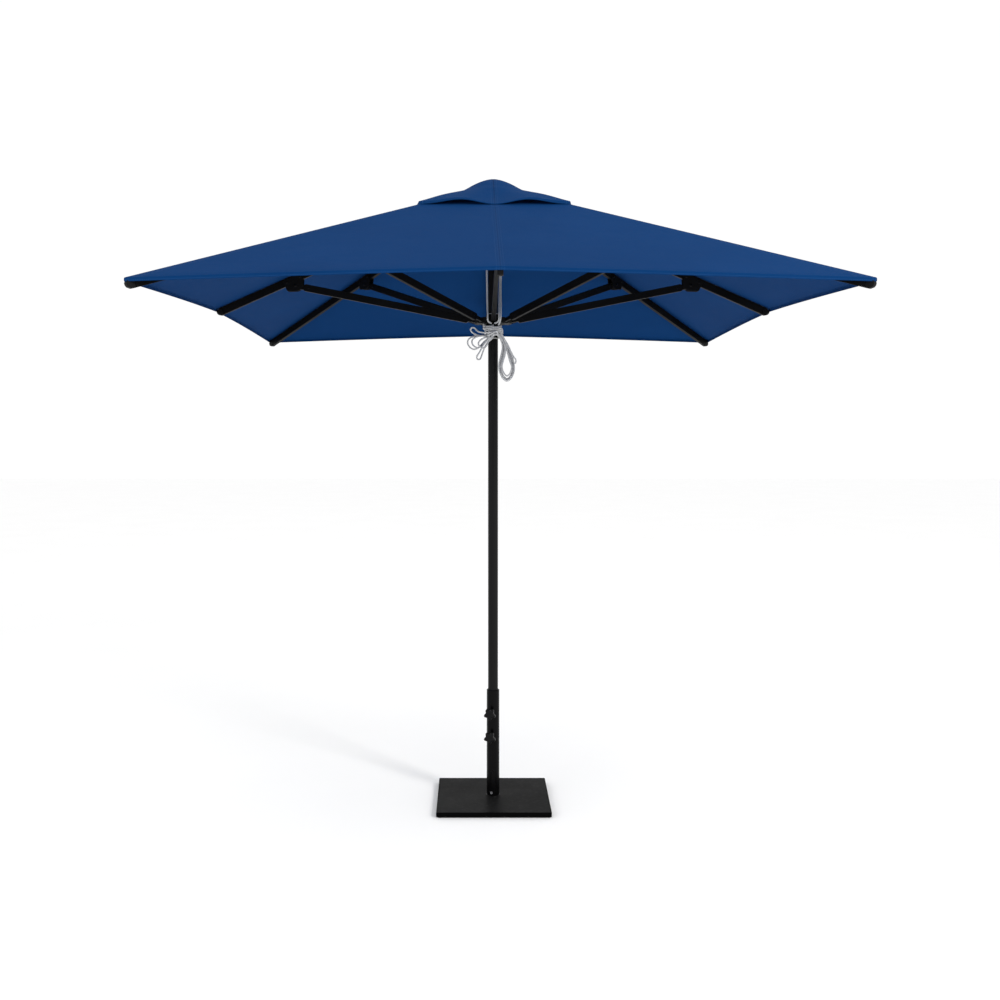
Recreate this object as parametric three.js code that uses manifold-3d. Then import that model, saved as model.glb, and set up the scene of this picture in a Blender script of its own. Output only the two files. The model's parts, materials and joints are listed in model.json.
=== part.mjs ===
// Square patio umbrella with a pulley rope, standing in a steel plate base.
// Millimetres, +Z up. The origin is on the ground under the middle of the pole, and the
// canopy's sides run along X and Y. "Front" is -Y and "right" is +X.
import * as THREE from 'three';
import { mergeVertices } from 'three/addons/utils/BufferGeometryUtils.js';
import Module from 'manifold-3d';

const wasm = await Module();
wasm.setup();

// ---------------------------------------------------------------- driving dimensions
const GAP = 0.3;                 // air between pieces that meet
const BORE_GAP = 0.3;            // air between a pin and its hole

// base
const PLATE = { x: 500, y: 450, thick: 20, bevel: 1.5 };
const PAD_MAT = { high: 4, inset: 8 };
const PLATE_TOP = PAD_MAT.high + PLATE.thick;
const SLEEVE = { r: 28.5, wall: 3, top: 500 };
const SPIGOT = { wall: 5, top: 150 };
const LINER = { bottom: 160, top: 498, wall: 2.4 };
const SIDE_AIM = -105 * Math.PI / 180;      // the way that knobs and screws face, from +X
const CLAMP_HEIGHTS = { upper: 402, lower: 297 };
const SCREW_HEIGHTS = { upper: 133.5, lower: 41.6 };
const BOSS = { r: 11, long: 12 };
const STUD = { r: 5, inGrip: 15 };
const PAD = { r: 4.6, long: 3.2 };
const KNOB = { lobes: 5, r: 23, lobe: 4, thick: 17, neck: 12 };
const SCREW = { head: 6, headHigh: 3.6, shank: 3 };

// pole
const POLE = { r: 22.5, wall: 2, top: 2742 };
const PLUG = { flange: 4, stem: 34 };

// hub, at the top of the pole
const HUB_PIVOT = { r: 52, z: 2734 };
const HUB = { r: 64, half: 17, skirt: 70, slotFrom: 38 };
const TONGUE = 8;                // thickness of a rib's inner end
const SLOT_AIR = 0.4;
const RING_WIRE = { r: 2.5, air: 0.5 };   // one wire ring holds all the ribs' inner ends
const ROPE = { r: 3.5, x: 30 };
const KNOT_TOP = 2144;
const SHEAVE = { x: 16, z: 2768, groove: 14, rim: 15, thick: 13, bore: 3.3 };
const HEAD = { x: 40, y: 13, top: 2791, wall: 3 };
const AXLE_R = 3;
const GUIDE = { x: 41, y: 14, bottom: 2371, top: 2421 };

// canopy: three heights and the half side fix every slope
const HALF_SIDE = 1250;
const APEX_Z = 2779;             // where the fabric's planes would meet
const RIM_MID_Z = 2222;
const RIM_CORNER_Z = 2184;
const FABRIC = 1;
const OPENING = 0.12;            // share of each rib that the opening at the top leaves bare
const SEAM_AIR = 0.3;

// ribs, brackets and struts
const RIB = { wide: 20, deep: 34, wall: 2, start: 26, cap: 34, eye: 8 };
const RIB_DROP = { mid: 22, corner: 25 };   // rib's centre line under the fabric's top
const BRACKET = { cheek: 4, pinDrop: 30, pin: 4, head: 17.5 };
const BRACKET_AT = { mid: 933.9, corner: 904.3 };   // along the rib, from the hub's pin
const STRUT = { wide: 18, deep: 32, wall: 2, outer: 12, outerLong: 40, inner: 8, innerLong: 34 };

// runner, at rest with the canopy open
const RUNNER_PIVOT = { r: 78, z: 2166 };
const RING = { r: 86, half: 12, slotFrom: 38 };
const COLLAR = { r: 31, bottom: 2090, top: 2196 };
const BUSH = { r: 25, bottom: 2086, top: 2200 };
const TRUNNION = { r: 3, half: 15 };

// crown and vent cap over the opening
const DOME = { r: 128, z: 2754, top: 2807, power: 1.6 };
const VENT = { mid: 366, corner: 451, midAbove: 2, cornerAbove: 12, arch: 20, hole: 4 };
const CROWN = { r: 120, thick: 2.5, boss: 12 };

// ---------------------------------------------------------------- materials
const finish = (color, roughness, metalness) =>
  new THREE.MeshStandardMaterial({ color, roughness, metalness });
const blackMetal = () => finish(0x17171a, 0.5, 0.4);
const blackPlastic = () => finish(0x131315, 0.6, 0);
const rubber = () => finish(0x101010, 0.9, 0);
const zincSteel = () => finish(0xa8abad, 0.35, 1);
const brass = () => finish(0xb08d4a, 0.35, 1);
const cloth = () => finish(0x1e417a, 0.85, 0);
const cord = () => finish(0xb9b9bb, 0.8, 0);

// ---------------------------------------------------------------- small helpers
const part = new THREE.Group();

function solidOf(geometry) {
  const bare = geometry.index ? geometry.toNonIndexed() : geometry.clone();
  bare.deleteAttribute('normal');
  bare.deleteAttribute('uv');
  const merged = mergeVertices(bare, 1e-4);
  return new wasm.Manifold(new wasm.Mesh({
    numProp: 3,
    vertProperties: merged.attributes.position.array,
    triVerts: new Uint32Array(merged.index.array),
  }));
}

function geometryOf(solid) {
  const mesh = solid.getMesh();
  const geometry = new THREE.BufferGeometry();
  geometry.setAttribute('position', new THREE.BufferAttribute(mesh.vertProperties, 3));
  geometry.setIndex(new THREE.BufferAttribute(mesh.triVerts, 1));
  return geometry;
}

function addNode(name, solid, material, holder = part) {
  const mesh = new THREE.Mesh(geometryOf(solid), material);
  mesh.name = name;
  holder.add(mesh);
}

const at = (geometry, x, y, z) => geometry.translate(x, y, z);
const disc = (r, from, to, sides = 32) =>
  solidOf(at(new THREE.CylinderGeometry(r, r, to - from, sides).rotateX(Math.PI / 2), 0, 0, (from + to) / 2));
const tube = (r, wall, from, to, sides = 32) =>
  disc(r, from, to, sides).subtract(disc(r - wall, from - 1, to + 1, sides));
const block = (x0, x1, y0, y1, z0, z1) =>
  solidOf(at(new THREE.BoxGeometry(x1 - x0, y1 - y0, z1 - z0), (x0 + x1) / 2, (y0 + y1) / 2, (z0 + z1) / 2));

/** A round bar through (x, z), along Y from y0 to y1. */
const barAlongY = (r, x, z, y0, y1, sides = 10) =>
  solidOf(at(new THREE.CylinderGeometry(r, r, y1 - y0, sides), x, (y0 + y1) / 2, z));

/** A round bar that starts on the pole's axis at height z and reaches from r0 to r1 along +X. */
const barAlongX = (r, z, r0, r1, sides = 14) =>
  solidOf(at(new THREE.CylinderGeometry(r, r, r1 - r0, sides).rotateZ(Math.PI / 2), (r0 + r1) / 2, 0, z));

/** A plate with an outline in the plane of X and Z, from y0 to y1. */
function plateAcrossY(outline, y0, y1, sides = 1) {
  const shape = outline instanceof THREE.Shape ? outline : new THREE.Shape(outline);
  const geometry = new THREE.ExtrudeGeometry(shape, { depth: y1 - y0, bevelEnabled: false, curveSegments: sides });
  return solidOf(geometry.rotateX(Math.PI / 2).translate(0, y1, 0));
}

/** A closed skin between a grid of points and the same grid lowered by thick. */
function slab(rows, thick, wrap = false) {
  const across = rows[0].length;
  const top = rows.flat();
  const points = [...top, ...top.map((p) => p.clone().setZ(p.z - thick))];
  const under = top.length;
  const faces = [];
  const quad = (a, b, c, d) => faces.push(a, b, c, a, c, d);
  const spans = wrap ? across : across - 1;
  for (let i = 0; i < rows.length - 1; i += 1) {
    for (let j = 0; j < spans; j += 1) {
      const next = (j + 1) % across;
      const [a, b] = [i * across + j, i * across + next];
      const [c, d] = [b + across, a + across];
      quad(a, d, c, b);
      quad(under + a, under + b, under + c, under + d);
    }
  }
  const last = (rows.length - 1) * across;
  for (let j = 0; j < spans; j += 1) {
    const next = (j + 1) % across;
    quad(j, next, under + next, under + j);
    quad(last + next, last + j, under + last + j, under + last + next);
  }
  for (let i = 0; !wrap && i < rows.length - 1; i += 1) {
    const [a, b] = [i * across, (i + 1) * across];
    quad(b, a, under + a, under + b);
    quad(a + across - 1, b + across - 1, under + b + across - 1, under + a + across - 1);
  }
  const geometry = new THREE.BufferGeometry().setFromPoints(points);
  geometry.setIndex(faces);
  return solidOf(geometry);
}

/** A round rod along a line of points. */
function rod(points, r, steps, sides = 6) {
  const curve = new THREE.CatmullRomCurve3(points.map((p) => new THREE.Vector3(...p)), false, 'centripetal');
  const section = new THREE.Shape();
  for (let i = 0; i < sides; i += 1) {
    const turn = (2 * Math.PI * i) / sides;
    section[i ? 'lineTo' : 'moveTo'](r * Math.cos(turn), r * Math.sin(turn));
  }
  return solidOf(new THREE.ExtrudeGeometry(section, { steps, extrudePath: curve }));
}

// ---------------------------------------------------------------- base
const plateShape = new THREE.Shape([
  new THREE.Vector2(-PLATE.x / 2 + PLATE.bevel, -PLATE.y / 2 + PLATE.bevel),
  new THREE.Vector2(PLATE.x / 2 - PLATE.bevel, -PLATE.y / 2 + PLATE.bevel),
  new THREE.Vector2(PLATE.x / 2 - PLATE.bevel, PLATE.y / 2 - PLATE.bevel),
  new THREE.Vector2(-PLATE.x / 2 + PLATE.bevel, PLATE.y / 2 - PLATE.bevel),
]);
const plateGeometry = new THREE.ExtrudeGeometry(plateShape, {
  depth: PLATE.thick - 2 * PLATE.bevel,
  bevelThickness: PLATE.bevel,
  bevelSize: PLATE.bevel,
  bevelSegments: 1,
});
addNode('base_plate', solidOf(at(plateGeometry, 0, 0, PAD_MAT.high + PLATE.bevel)), blackMetal());

const matX = PLATE.x / 2 - PAD_MAT.inset;
const matY = PLATE.y / 2 - PAD_MAT.inset;
addNode('base_mat', block(-matX, matX, -matY, matY, 0, PAD_MAT.high - GAP), rubber());

// everything that faces the same way as the knobs is built along +X and turned as one group
const sideGroup = new THREE.Group();
sideGroup.rotation.z = SIDE_AIM;
part.add(sideGroup);

const sleeveIn = SLEEVE.r - SLEEVE.wall;
const spigotOut = sleeveIn - GAP;
const studHole = STUD.r + GAP;
const clampHeights = Object.values(CLAMP_HEIGHTS);
const screwHeights = Object.values(SCREW_HEIGHTS);
const holesFor = (heights, r, from, to) => heights.map((z) => barAlongX(r, z, from, to));
const cutAll = (solid, cutters) => cutters.reduce((left, cutter) => left.subtract(cutter), solid);

let sleeve = tube(SLEEVE.r, SLEEVE.wall, PLATE_TOP + GAP, SLEEVE.top);
clampHeights.forEach((z) => {
  sleeve = sleeve.add(barAlongX(BOSS.r, z, SLEEVE.r - 2, SLEEVE.r + BOSS.long).subtract(disc(SLEEVE.r - 1, z - 20, z + 20)));
});
sleeve = cutAll(sleeve, holesFor(clampHeights, studHole, 10, 60));
sleeve = cutAll(sleeve, holesFor(screwHeights, SCREW.shank + GAP, 10, 60));
addNode('stem_sleeve', sleeve, blackMetal(), sideGroup);

const spigot = cutAll(
  tube(spigotOut, SPIGOT.wall, PLATE_TOP + GAP, SPIGOT.top),
  holesFor(screwHeights, SCREW.shank + GAP, 10, 60),
);
addNode('stem_spigot', spigot, blackMetal(), sideGroup);

const liner = cutAll(
  tube(sleeveIn - GAP, LINER.wall, LINER.bottom, LINER.top),
  holesFor(clampHeights, PAD.r + 2, 10, 60),
);
addNode('stem_liner', liner, blackPlastic(), sideGroup);

const screwFace = SLEEVE.r + GAP;
Object.entries(SCREW_HEIGHTS).forEach(([which, z]) => {
  const screw = barAlongX(SCREW.shank, z, spigotOut - SPIGOT.wall - 2, screwFace + 1)
    .add(barAlongX(SCREW.head, z, screwFace, screwFace + SCREW.headHigh))
    .subtract(barAlongX(SCREW.head / 2, z, screwFace + 2, screwFace + SCREW.headHigh + 1, 6));
  addNode(`stem_screw_${which}`, screw, zincSteel(), sideGroup);
});

/** A clamp knob: a round grip with lobes on a plain neck, moulded round the end of its stud. */
function knobSolid(z, studFrom, from) {
  const outline = [];
  const count = 30;
  for (let i = 0; i < count; i += 1) {
    const turn = (2 * Math.PI * i) / count;
    const r = KNOB.r + KNOB.lobe * Math.cos(KNOB.lobes * turn);
    outline.push(new THREE.Vector2(r * Math.cos(turn), r * Math.sin(turn)));
  }
  const grip = new THREE.ExtrudeGeometry(new THREE.Shape(outline), {
    depth: KNOB.thick - 4,
    bevelThickness: 2,
    bevelSize: 2,
    bevelOffset: -2,
    bevelSegments: 1,
  }).rotateY(Math.PI / 2).translate(from + 8, 0, z);
  return solidOf(grip)
    .add(barAlongX(KNOB.neck, z, from, from + 8))
    .add(barAlongX(STUD.r, z, studFrom, from + STUD.inGrip));
}

Object.entries(CLAMP_HEIGHTS).forEach(([which, z]) => {
  const padFace = POLE.r + GAP;
  const studFrom = padFace + PAD.long + GAP;
  const knobFrom = SLEEVE.r + BOSS.long + 4;
  addNode(`clamp_pad_${which}`, barAlongX(PAD.r, z, padFace, padFace + PAD.long), brass(), sideGroup);
  addNode(`clamp_knob_${which}`, knobSolid(z, studFrom, knobFrom), blackPlastic(), sideGroup);
});

// ---------------------------------------------------------------- pole
const plugFloor = SPIGOT.top + GAP;
const poleFoot = plugFloor + PLUG.flange + GAP;
const footPlug = disc(POLE.r - BORE_GAP, plugFloor, plugFloor + PLUG.flange)
  .add(disc(POLE.r - POLE.wall - GAP, plugFloor, poleFoot + PLUG.stem));
addNode('pole_foot_plug', footPlug, blackPlastic());
addNode('pole_tube', tube(POLE.r, POLE.wall, poleFoot, POLE.top), blackMetal());

// ---------------------------------------------------------------- hub and pulleys
const WAYS = ['right', 'back_right', 'back', 'back_left', 'left', 'front_left', 'front', 'front_right'];
const turnOf = (i) => (i * Math.PI) / 4;
const turned = (solid, i) => solid.rotate([0, 0, 45 * i]);

const slotHalf = TONGUE / 2 + SLOT_AIR;
const hubLow = HUB_PIVOT.z - HUB.half;
const hubHigh = HUB_PIVOT.z + HUB.half;
const ropeHole = ROPE.r + 2;
let hub = disc(HUB.r, hubLow, hubHigh)
  .add(disc(POLE.r + 3.1, hubLow - HUB.skirt, hubLow + 1))
  .subtract(disc(POLE.r + GAP, hubLow - HUB.skirt - 1, POLE.top + GAP));
WAYS.forEach((way, i) => {
  hub = hub
    .subtract(turned(block(HUB.slotFrom, HUB.r + 2, -slotHalf, slotHalf, hubLow - 1, hubHigh + 1), i));
});
[-ROPE.x, ROPE.x].forEach((x) => {
  hub = hub.subtract(disc(ropeHole, hubLow - 1, hubHigh + 1, 12).translate([x, 0, 0]));
});
const wireRing = (r) => solidOf(new THREE.TorusGeometry(HUB_PIVOT.r, r, 6, 40).translate(0, 0, HUB_PIVOT.z));
addNode('top_hub', hub.subtract(wireRing(RING_WIRE.r + GAP)), blackMetal());
addNode('hub_ring_wire', wireRing(RING_WIRE.r), zincSteel());

const headFloor = hubHigh + GAP;
let head = block(-HEAD.x, HEAD.x, -HEAD.y, HEAD.y, headFloor, HEAD.top)
  .subtract(block(-HEAD.x + HEAD.wall, HEAD.x - HEAD.wall, -HEAD.y + HEAD.wall * 2, HEAD.y - HEAD.wall * 2,
    headFloor - 1, HEAD.top - HEAD.wall));
[-SHEAVE.x, SHEAVE.x].forEach((x) => {
  head = head.add(barAlongY(AXLE_R, x, SHEAVE.z, -HEAD.y - 2, HEAD.y + 2));
});
addNode('pulley_head', head, blackMetal());

const sheaveRoot = SHEAVE.groove - ROPE.r - 1;
const sheaveProfile = [
  [SHEAVE.bore, -SHEAVE.thick / 2], [SHEAVE.rim, -SHEAVE.thick / 2], [SHEAVE.rim, -ROPE.r - 2],
  [sheaveRoot, -2.5], [sheaveRoot, 2.5], [SHEAVE.rim, ROPE.r + 2], [SHEAVE.rim, SHEAVE.thick / 2],
  [SHEAVE.bore, SHEAVE.thick / 2], [SHEAVE.bore, -SHEAVE.thick / 2],
].map(([r, y]) => new THREE.Vector2(r, y));
[['left', -1], ['right', 1]].forEach(([side, sign]) => {
  const wheel = new THREE.LatheGeometry(sheaveProfile, 20);
  addNode(`sheave_${side}`, solidOf(at(wheel, sign * SHEAVE.x, 0, SHEAVE.z)), brass());
});

// lead block on the pole's right side: the hauling part passes through it, and the
// standing part is made fast under it
const standing = { x: GUIDE.x - ROPE.r - 2.5, y: -6 };
const guide = block(5, GUIDE.x, -GUIDE.y, GUIDE.y, GUIDE.bottom, GUIDE.top)
  .subtract(disc(POLE.r + GAP, GUIDE.bottom - 1, GUIDE.top + 1))
  .subtract(block(-30, POLE.r - 6, -40, 40, GUIDE.bottom - 1, GUIDE.top + 1))
  .subtract(disc(ropeHole, GUIDE.bottom - 1, GUIDE.top + 1, 12).translate([ROPE.x, 4, 0]));
addNode('rope_lead_block', guide, blackPlastic());

// ---------------------------------------------------------------- crown and vent cap
const domeHeight = (r) => DOME.top - (DOME.top - DOME.z) * (r / DOME.r) ** DOME.power;
const crownSteps = [0, 0.33, 0.67, 1];
const crownOut = FABRIC + 2;
const crownProfile = [
  ...crownSteps.map((t) => [t * CROWN.r, domeHeight(t * CROWN.r) - crownOut]),
  ...crownSteps.slice().reverse().map((t) => CROWN.boss + t * (CROWN.r - CROWN.boss))
    .map((r) => [r, domeHeight(r) - crownOut - CROWN.thick]),
  [CROWN.boss, HEAD.top + GAP],
  [0, HEAD.top + GAP],
].map(([r, z]) => new THREE.Vector2(r, z)).reverse();
addNode('crown_cap', solidOf(new THREE.LatheGeometry(crownProfile, 28).rotateX(Math.PI / 2)), blackPlastic());

/** The main canopy's top height at a distance along and across one of its four sides. */
const canopyHeight = (out, across) => APEX_Z - ((APEX_Z - RIM_MID_Z) * out) / HALF_SIDE
  - ((RIM_MID_Z - RIM_CORNER_Z) * Math.abs(across)) / HALF_SIDE;

const ventColumns = 24;
const ventRadii = [VENT.hole, DOME.r * 0.25, DOME.r * 0.5, DOME.r * 0.75, DOME.r];
const ventRows = ventRadii.map((r) => Array.from({ length: ventColumns }, (_, j) => {
  const turn = (2 * Math.PI * j) / ventColumns;
  return new THREE.Vector3(r * Math.cos(turn), r * Math.sin(turn), domeHeight(r));
}));
const ventHem = Array.from({ length: ventColumns }, (_, j) => {
  const turn = (2 * Math.PI * j) / ventColumns;
  const half = Math.PI / 4;
  const off = Math.abs(((turn + half) % (Math.PI / 2)) - half);
  const cornerSide = VENT.corner / Math.SQRT2;
  const out = (VENT.mid * cornerSide) / (cornerSide + (VENT.mid - cornerSide) * Math.tan(off));
  const across = out * Math.tan(off);
  const r = Math.hypot(out, across);
  const arch = (VENT.arch * (1 - Math.cos(8 * off))) / 2;
  const above = VENT.midAbove + ((VENT.cornerAbove - VENT.midAbove) * off) / half + arch;
  return new THREE.Vector3(r * Math.cos(turn), r * Math.sin(turn), canopyHeight(out, across) + above);
});
addNode('vent_cap', slab([...ventRows, ventHem], FABRIC, true), cloth());

// ---------------------------------------------------------------- runner
const ringLow = RUNNER_PIVOT.z - RING.half;
const ringHigh = RUNNER_PIVOT.z + RING.half;
const runnerSlot = STRUT.wide / 2 + SLOT_AIR;
let runner = disc(RING.r, ringLow, ringHigh).add(disc(COLLAR.r, COLLAR.bottom, COLLAR.top))
  .subtract(disc(BUSH.r + GAP, COLLAR.bottom - 1, COLLAR.top + 1));
const hookReach = TRUNNION.half + SLOT_AIR;
const hookAir = TRUNNION.r + GAP;
// each trunnion seat is open below, so that a strut can leave its seat as the runner moves
const hookMouth = [
  [RUNNER_PIVOT.r - hookAir - 5, ringLow - 1], [RUNNER_PIVOT.r + hookAir, ringLow - 1],
  [RUNNER_PIVOT.r + hookAir, RUNNER_PIVOT.z], [RUNNER_PIVOT.r - hookAir, RUNNER_PIVOT.z],
].map(([x, z]) => new THREE.Vector2(x, z));
WAYS.forEach((way, i) => {
  runner = runner
    .subtract(turned(block(RING.slotFrom, RING.r + 2, -runnerSlot, runnerSlot, ringLow - 1, ringHigh + 1), i))
    .subtract(turned(barAlongY(hookAir, RUNNER_PIVOT.r, RUNNER_PIVOT.z, -hookReach, hookReach), i))
    .subtract(turned(plateAcrossY(hookMouth, -hookReach, hookReach), i));
});
addNode('runner', runner, blackPlastic());
addNode('runner_bush', tube(BUSH.r, BUSH.r - POLE.r - GAP, BUSH.bottom, BUSH.top), finish(0xd8d8d4, 0.5, 0));

// ---------------------------------------------------------------- ribs, brackets, struts, panels
/** The lines of one kind of rib, in the plane of its own radius (x outwards, z up). */
function ribPlan(kind) {
  const rim = kind === 'mid'
    ? { r: HALF_SIDE, z: RIM_MID_Z - RIB_DROP.mid }
    : { r: HALF_SIDE * Math.SQRT2, z: RIM_CORNER_Z - RIB_DROP.corner };
  const slope = Math.atan2(HUB_PIVOT.z - rim.z, rim.r - HUB_PIVOT.r);
  const length = Math.hypot(HUB_PIVOT.z - rim.z, rim.r - HUB_PIVOT.r);
  const ribPoint = (u, w) => new THREE.Vector2(
    HUB_PIVOT.r + u * Math.cos(slope) + w * Math.sin(slope),
    HUB_PIVOT.z - u * Math.sin(slope) + w * Math.cos(slope),
  );
  const pin = ribPoint(BRACKET_AT[kind], -BRACKET.pinDrop);
  const rise = Math.atan2(pin.y - RUNNER_PIVOT.z, pin.x - RUNNER_PIVOT.r);
  const strutLength = Math.hypot(pin.y - RUNNER_PIVOT.z, pin.x - RUNNER_PIVOT.r);
  const strutPoint = (u, w) => new THREE.Vector2(
    RUNNER_PIVOT.r + u * Math.cos(rise) - w * Math.sin(rise),
    RUNNER_PIVOT.z + u * Math.sin(rise) + w * Math.cos(rise),
  );
  return { slope, length, ribPoint, pin, rise, strutLength, strutPoint };
}

/** A bar of rectangular outline along a member, from u0 to u1 and w0 to w1, across half each way. */
const member = (place, u0, u1, w0, w1, half) =>
  plateAcrossY([place(u0, w0), place(u1, w0), place(u1, w1), place(u0, w1)], -half, half);

/** Points along an arc about the point u of a member's centre line, with angles in quarter turns. */
const arc = (place, u, r, from, to) => Array.from({ length: 7 }, (_, i) => {
  const turn = ((from + ((to - from) * i) / 6) * Math.PI) / 2;
  return place(u + r * Math.cos(turn), r * Math.sin(turn));
});

/** A rectangular tube with a flat eye at the hub, and a plug that tapers to a blunt nose. */
function ribSolid(plan) {
  const half = RIB.wide / 2;
  const deep = RIB.deep / 2;
  const end = plan.length - RIB.cap;
  const drain = end - 12;
  const place = plan.ribPoint;
  const outline = [
    [RIB.start, -deep], [end + 16, -deep], [end + 28, -deep + 8], [plan.length - 3, -2],
    [plan.length - 3, 6], [end + 26, deep - 4], [end + 8, deep], [RIB.start, deep],
  ].map(([u, w]) => place(u, w));
  const eye = [...arc(place, 0, RIB.eye, 1, 3), place(RIB.start + 1, -RIB.eye), place(RIB.start + 1, RIB.eye)];
  return plateAcrossY(outline, -half, half)
    .subtract(member(place, RIB.start + 30, end - 4, -deep + RIB.wall, deep - RIB.wall, half - RIB.wall))
    .subtract(member(place, drain, drain + 6, -deep - 1, 0, 3))
    .add(plateAcrossY(eye, -TONGUE / 2, TONGUE / 2))
    .subtract(barAlongY(RING_WIRE.r + RING_WIRE.air, HUB_PIVOT.r, HUB_PIVOT.z, -half, half));
}

function bracketSolid(plan, kind) {
  const inner = RIB.wide / 2 + GAP;
  const place = (u, w) => plan.ribPoint(BRACKET_AT[kind] + u, w);
  const outline = [[-48, 13], [44, 13], [44, -39], [-2, -58], [-30, -50], [-48, -14]].map(([u, w]) => place(u, w));
  return plateAcrossY(outline, inner, inner + BRACKET.cheek)
    .add(plateAcrossY(outline, -inner - BRACKET.cheek, -inner))
    .add(barAlongY(BRACKET.pin, plan.pin.x, plan.pin.y, -BRACKET.head, BRACKET.head));
}

/** A rectangular tube with a solid round end at the bracket's pin and another, with trunnions, at the runner. */
function strutSolid(plan) {
  const half = STRUT.wide / 2;
  const deep = STRUT.deep / 2;
  const from = STRUT.innerLong;
  const to = plan.strutLength - STRUT.outerLong;
  const place = plan.strutPoint;
  const outline = [
    place(from, -STRUT.inner), place(from + 6, -deep), place(to - 4, -deep), place(to, -STRUT.outer),
    ...arc(place, plan.strutLength, STRUT.outer, -1, 1),
    place(to, STRUT.outer), place(to - 4, deep), place(from + 6, deep), place(from, STRUT.inner),
    ...arc(place, 0, STRUT.inner, 1, 3),
  ];
  return plateAcrossY(outline, -half, half)
    .subtract(member(place, from + 16, to - 16, -deep + STRUT.wall, deep - STRUT.wall, half - STRUT.wall))
    .subtract(member(place, from + 20, from + 28, -deep - 1, 0, 3))
    .add(barAlongY(TRUNNION.r, RUNNER_PIVOT.r, RUNNER_PIVOT.z, -TRUNNION.half, TRUNNION.half))
    .subtract(barAlongY(BRACKET.pin + BORE_GAP, plan.pin.x, plan.pin.y, -half - 1, half + 1));
}

/** The top of one panel: the cloth from its rib to the seams halfway to both neighbours. */
function panelRows(kind) {
  const apex = new THREE.Vector3(0, 0, APEX_Z);
  const mid = new THREE.Vector3(HALF_SIDE, 0, RIM_MID_Z);
  const corner = new THREE.Vector3(HALF_SIDE * Math.SQRT2, 0, RIM_CORNER_Z);
  const [own, neighbour] = kind === 'mid' ? [mid, corner] : [corner, mid];
  // the seam halves the angle between two ribs, in the plane of the cloth
  const share = own.distanceTo(apex) / (mid.distanceTo(apex) + corner.distanceTo(apex));
  const seamEnd = (sign) => {
    const other = neighbour.clone().applyAxisAngle(new THREE.Vector3(0, 0, 1), (sign * Math.PI) / 4);
    return own.clone().lerp(other, share);
  };
  return [OPENING, 1].map((k) => [seamEnd(-1), own, seamEnd(1)].map((rim) => {
    const p = apex.clone().lerp(rim, k);
    p.y -= Math.sign(p.y) * SEAM_AIR;
    return p;
  }));
}

WAYS.forEach((way, i) => {
  const kind = i % 2 ? 'corner' : 'mid';
  const plan = ribPlan(kind);
  const group = new THREE.Group();
  group.rotation.z = turnOf(i);
  part.add(group);
  addNode(`rib_${way}`, ribSolid(plan), blackMetal(), group);
  addNode(`bracket_${way}`, bracketSolid(plan, kind), blackPlastic(), group);
  addNode(`strut_${way}`, strutSolid(plan), blackMetal(), group);
  addNode(`canopy_${way}`, slab(panelRows(kind), FABRIC), cloth(), group);
});

// ---------------------------------------------------------------- rope
const headEnd = hubLow - 17;
const ropeTop = SHEAVE.z + SHEAVE.groove;
const quarter = SHEAVE.groove * Math.SQRT1_2;
const overPulleys = [
  [-ROPE.x, 0, headEnd], [-ROPE.x, 0, SHEAVE.z - 30], [-ROPE.x, 0, SHEAVE.z - 6],
  [-SHEAVE.x - quarter, 0, SHEAVE.z + quarter], [-SHEAVE.x, 0, ropeTop], [0, 0, ropeTop], [SHEAVE.x, 0, ropeTop],
  [SHEAVE.x + quarter, 0, SHEAVE.z + quarter], [ROPE.x, 0, SHEAVE.z - 6], [ROPE.x, 0, SHEAVE.z - 30],
  [ROPE.x, 0, headEnd],
];
addNode('rope_over_pulleys', rod(overPulleys, ROPE.r, 30), cord());

// all three parts pass in front of the runner, clear of the front strut, and end at the knot
const hang = (x, knotX, drop = 0) => [
  [x, -96, 2190], [x * 0.9, -94, 2157], [knotX, -85, KNOT_TOP + ROPE.r + GAP - drop],
];
const runs = {
  left: [[-ROPE.x, 0, headEnd - 2], [-ROPE.x, -1, headEnd - 40], [-ROPE.x, -47, 2440], ...hang(-26, -9)],
  right: [
    [ROPE.x, 0, headEnd - 2], [ROPE.x, 0.5, headEnd - 40], [ROPE.x, 4, GUIDE.top + 40], [ROPE.x, 4, GUIDE.top + 2],
    [ROPE.x, 4, GUIDE.bottom - 2], [ROPE.x, 2, GUIDE.bottom - 24], ...hang(24, 5),
  ],
  standing: [
    [standing.x, standing.y, GUIDE.bottom - 2], [standing.x, standing.y, GUIDE.bottom - 20],
    [standing.x - 1, -50, 2280], ...hang(33, 22, 7),
  ],
};
Object.entries(runs).forEach(([which, points]) => {
  addNode(`rope_${which}`, rod(points, ROPE.r, 24), cord());
});

const wrap = disc(COLLAR.r + 9, 2106, 2150).subtract(disc(COLLAR.r + GAP, 2105, 2151));
const bundle = (points, y0, y1) => plateAcrossY(points.map(([x, z]) => new THREE.Vector2(x, z)), y0, y1);
const knot = bundle([[-34, 2128], [-22, 2098], [20, 2090], [34, 2122], [10, KNOT_TOP], [-10, KNOT_TOP]], -104, -36);
const bow = bundle([
  [-16, 2136], [-60, 2122], [-98, 2128], [-119, 2092], [-112, 2062], [-84, 2046], [-72, 1994], [-58, 2000],
  [-40, 2052], [-16, 2096],
], -74, -52);
const hank = bundle([
  [4, 2104], [18, 2104], [62, 2066], [84, 2026], [88, 1960], [82, 1912], [56, 1889], [34, 1904],
  [24, 1956], [34, 2010], [26, 2058],
], -76, -48);
addNode('rope_tie', wrap.add(knot).add(bow).add(hank), cord());

export default part;
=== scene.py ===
"""A square market umbrella with a pulley rope, on a plate base.

Metres, +Z up. The CAD model is the frame: every piece made here rides on one of its
bodies. The first block of lengths repeats the dimensions of the CAD model.
"""
import json
import math

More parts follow.
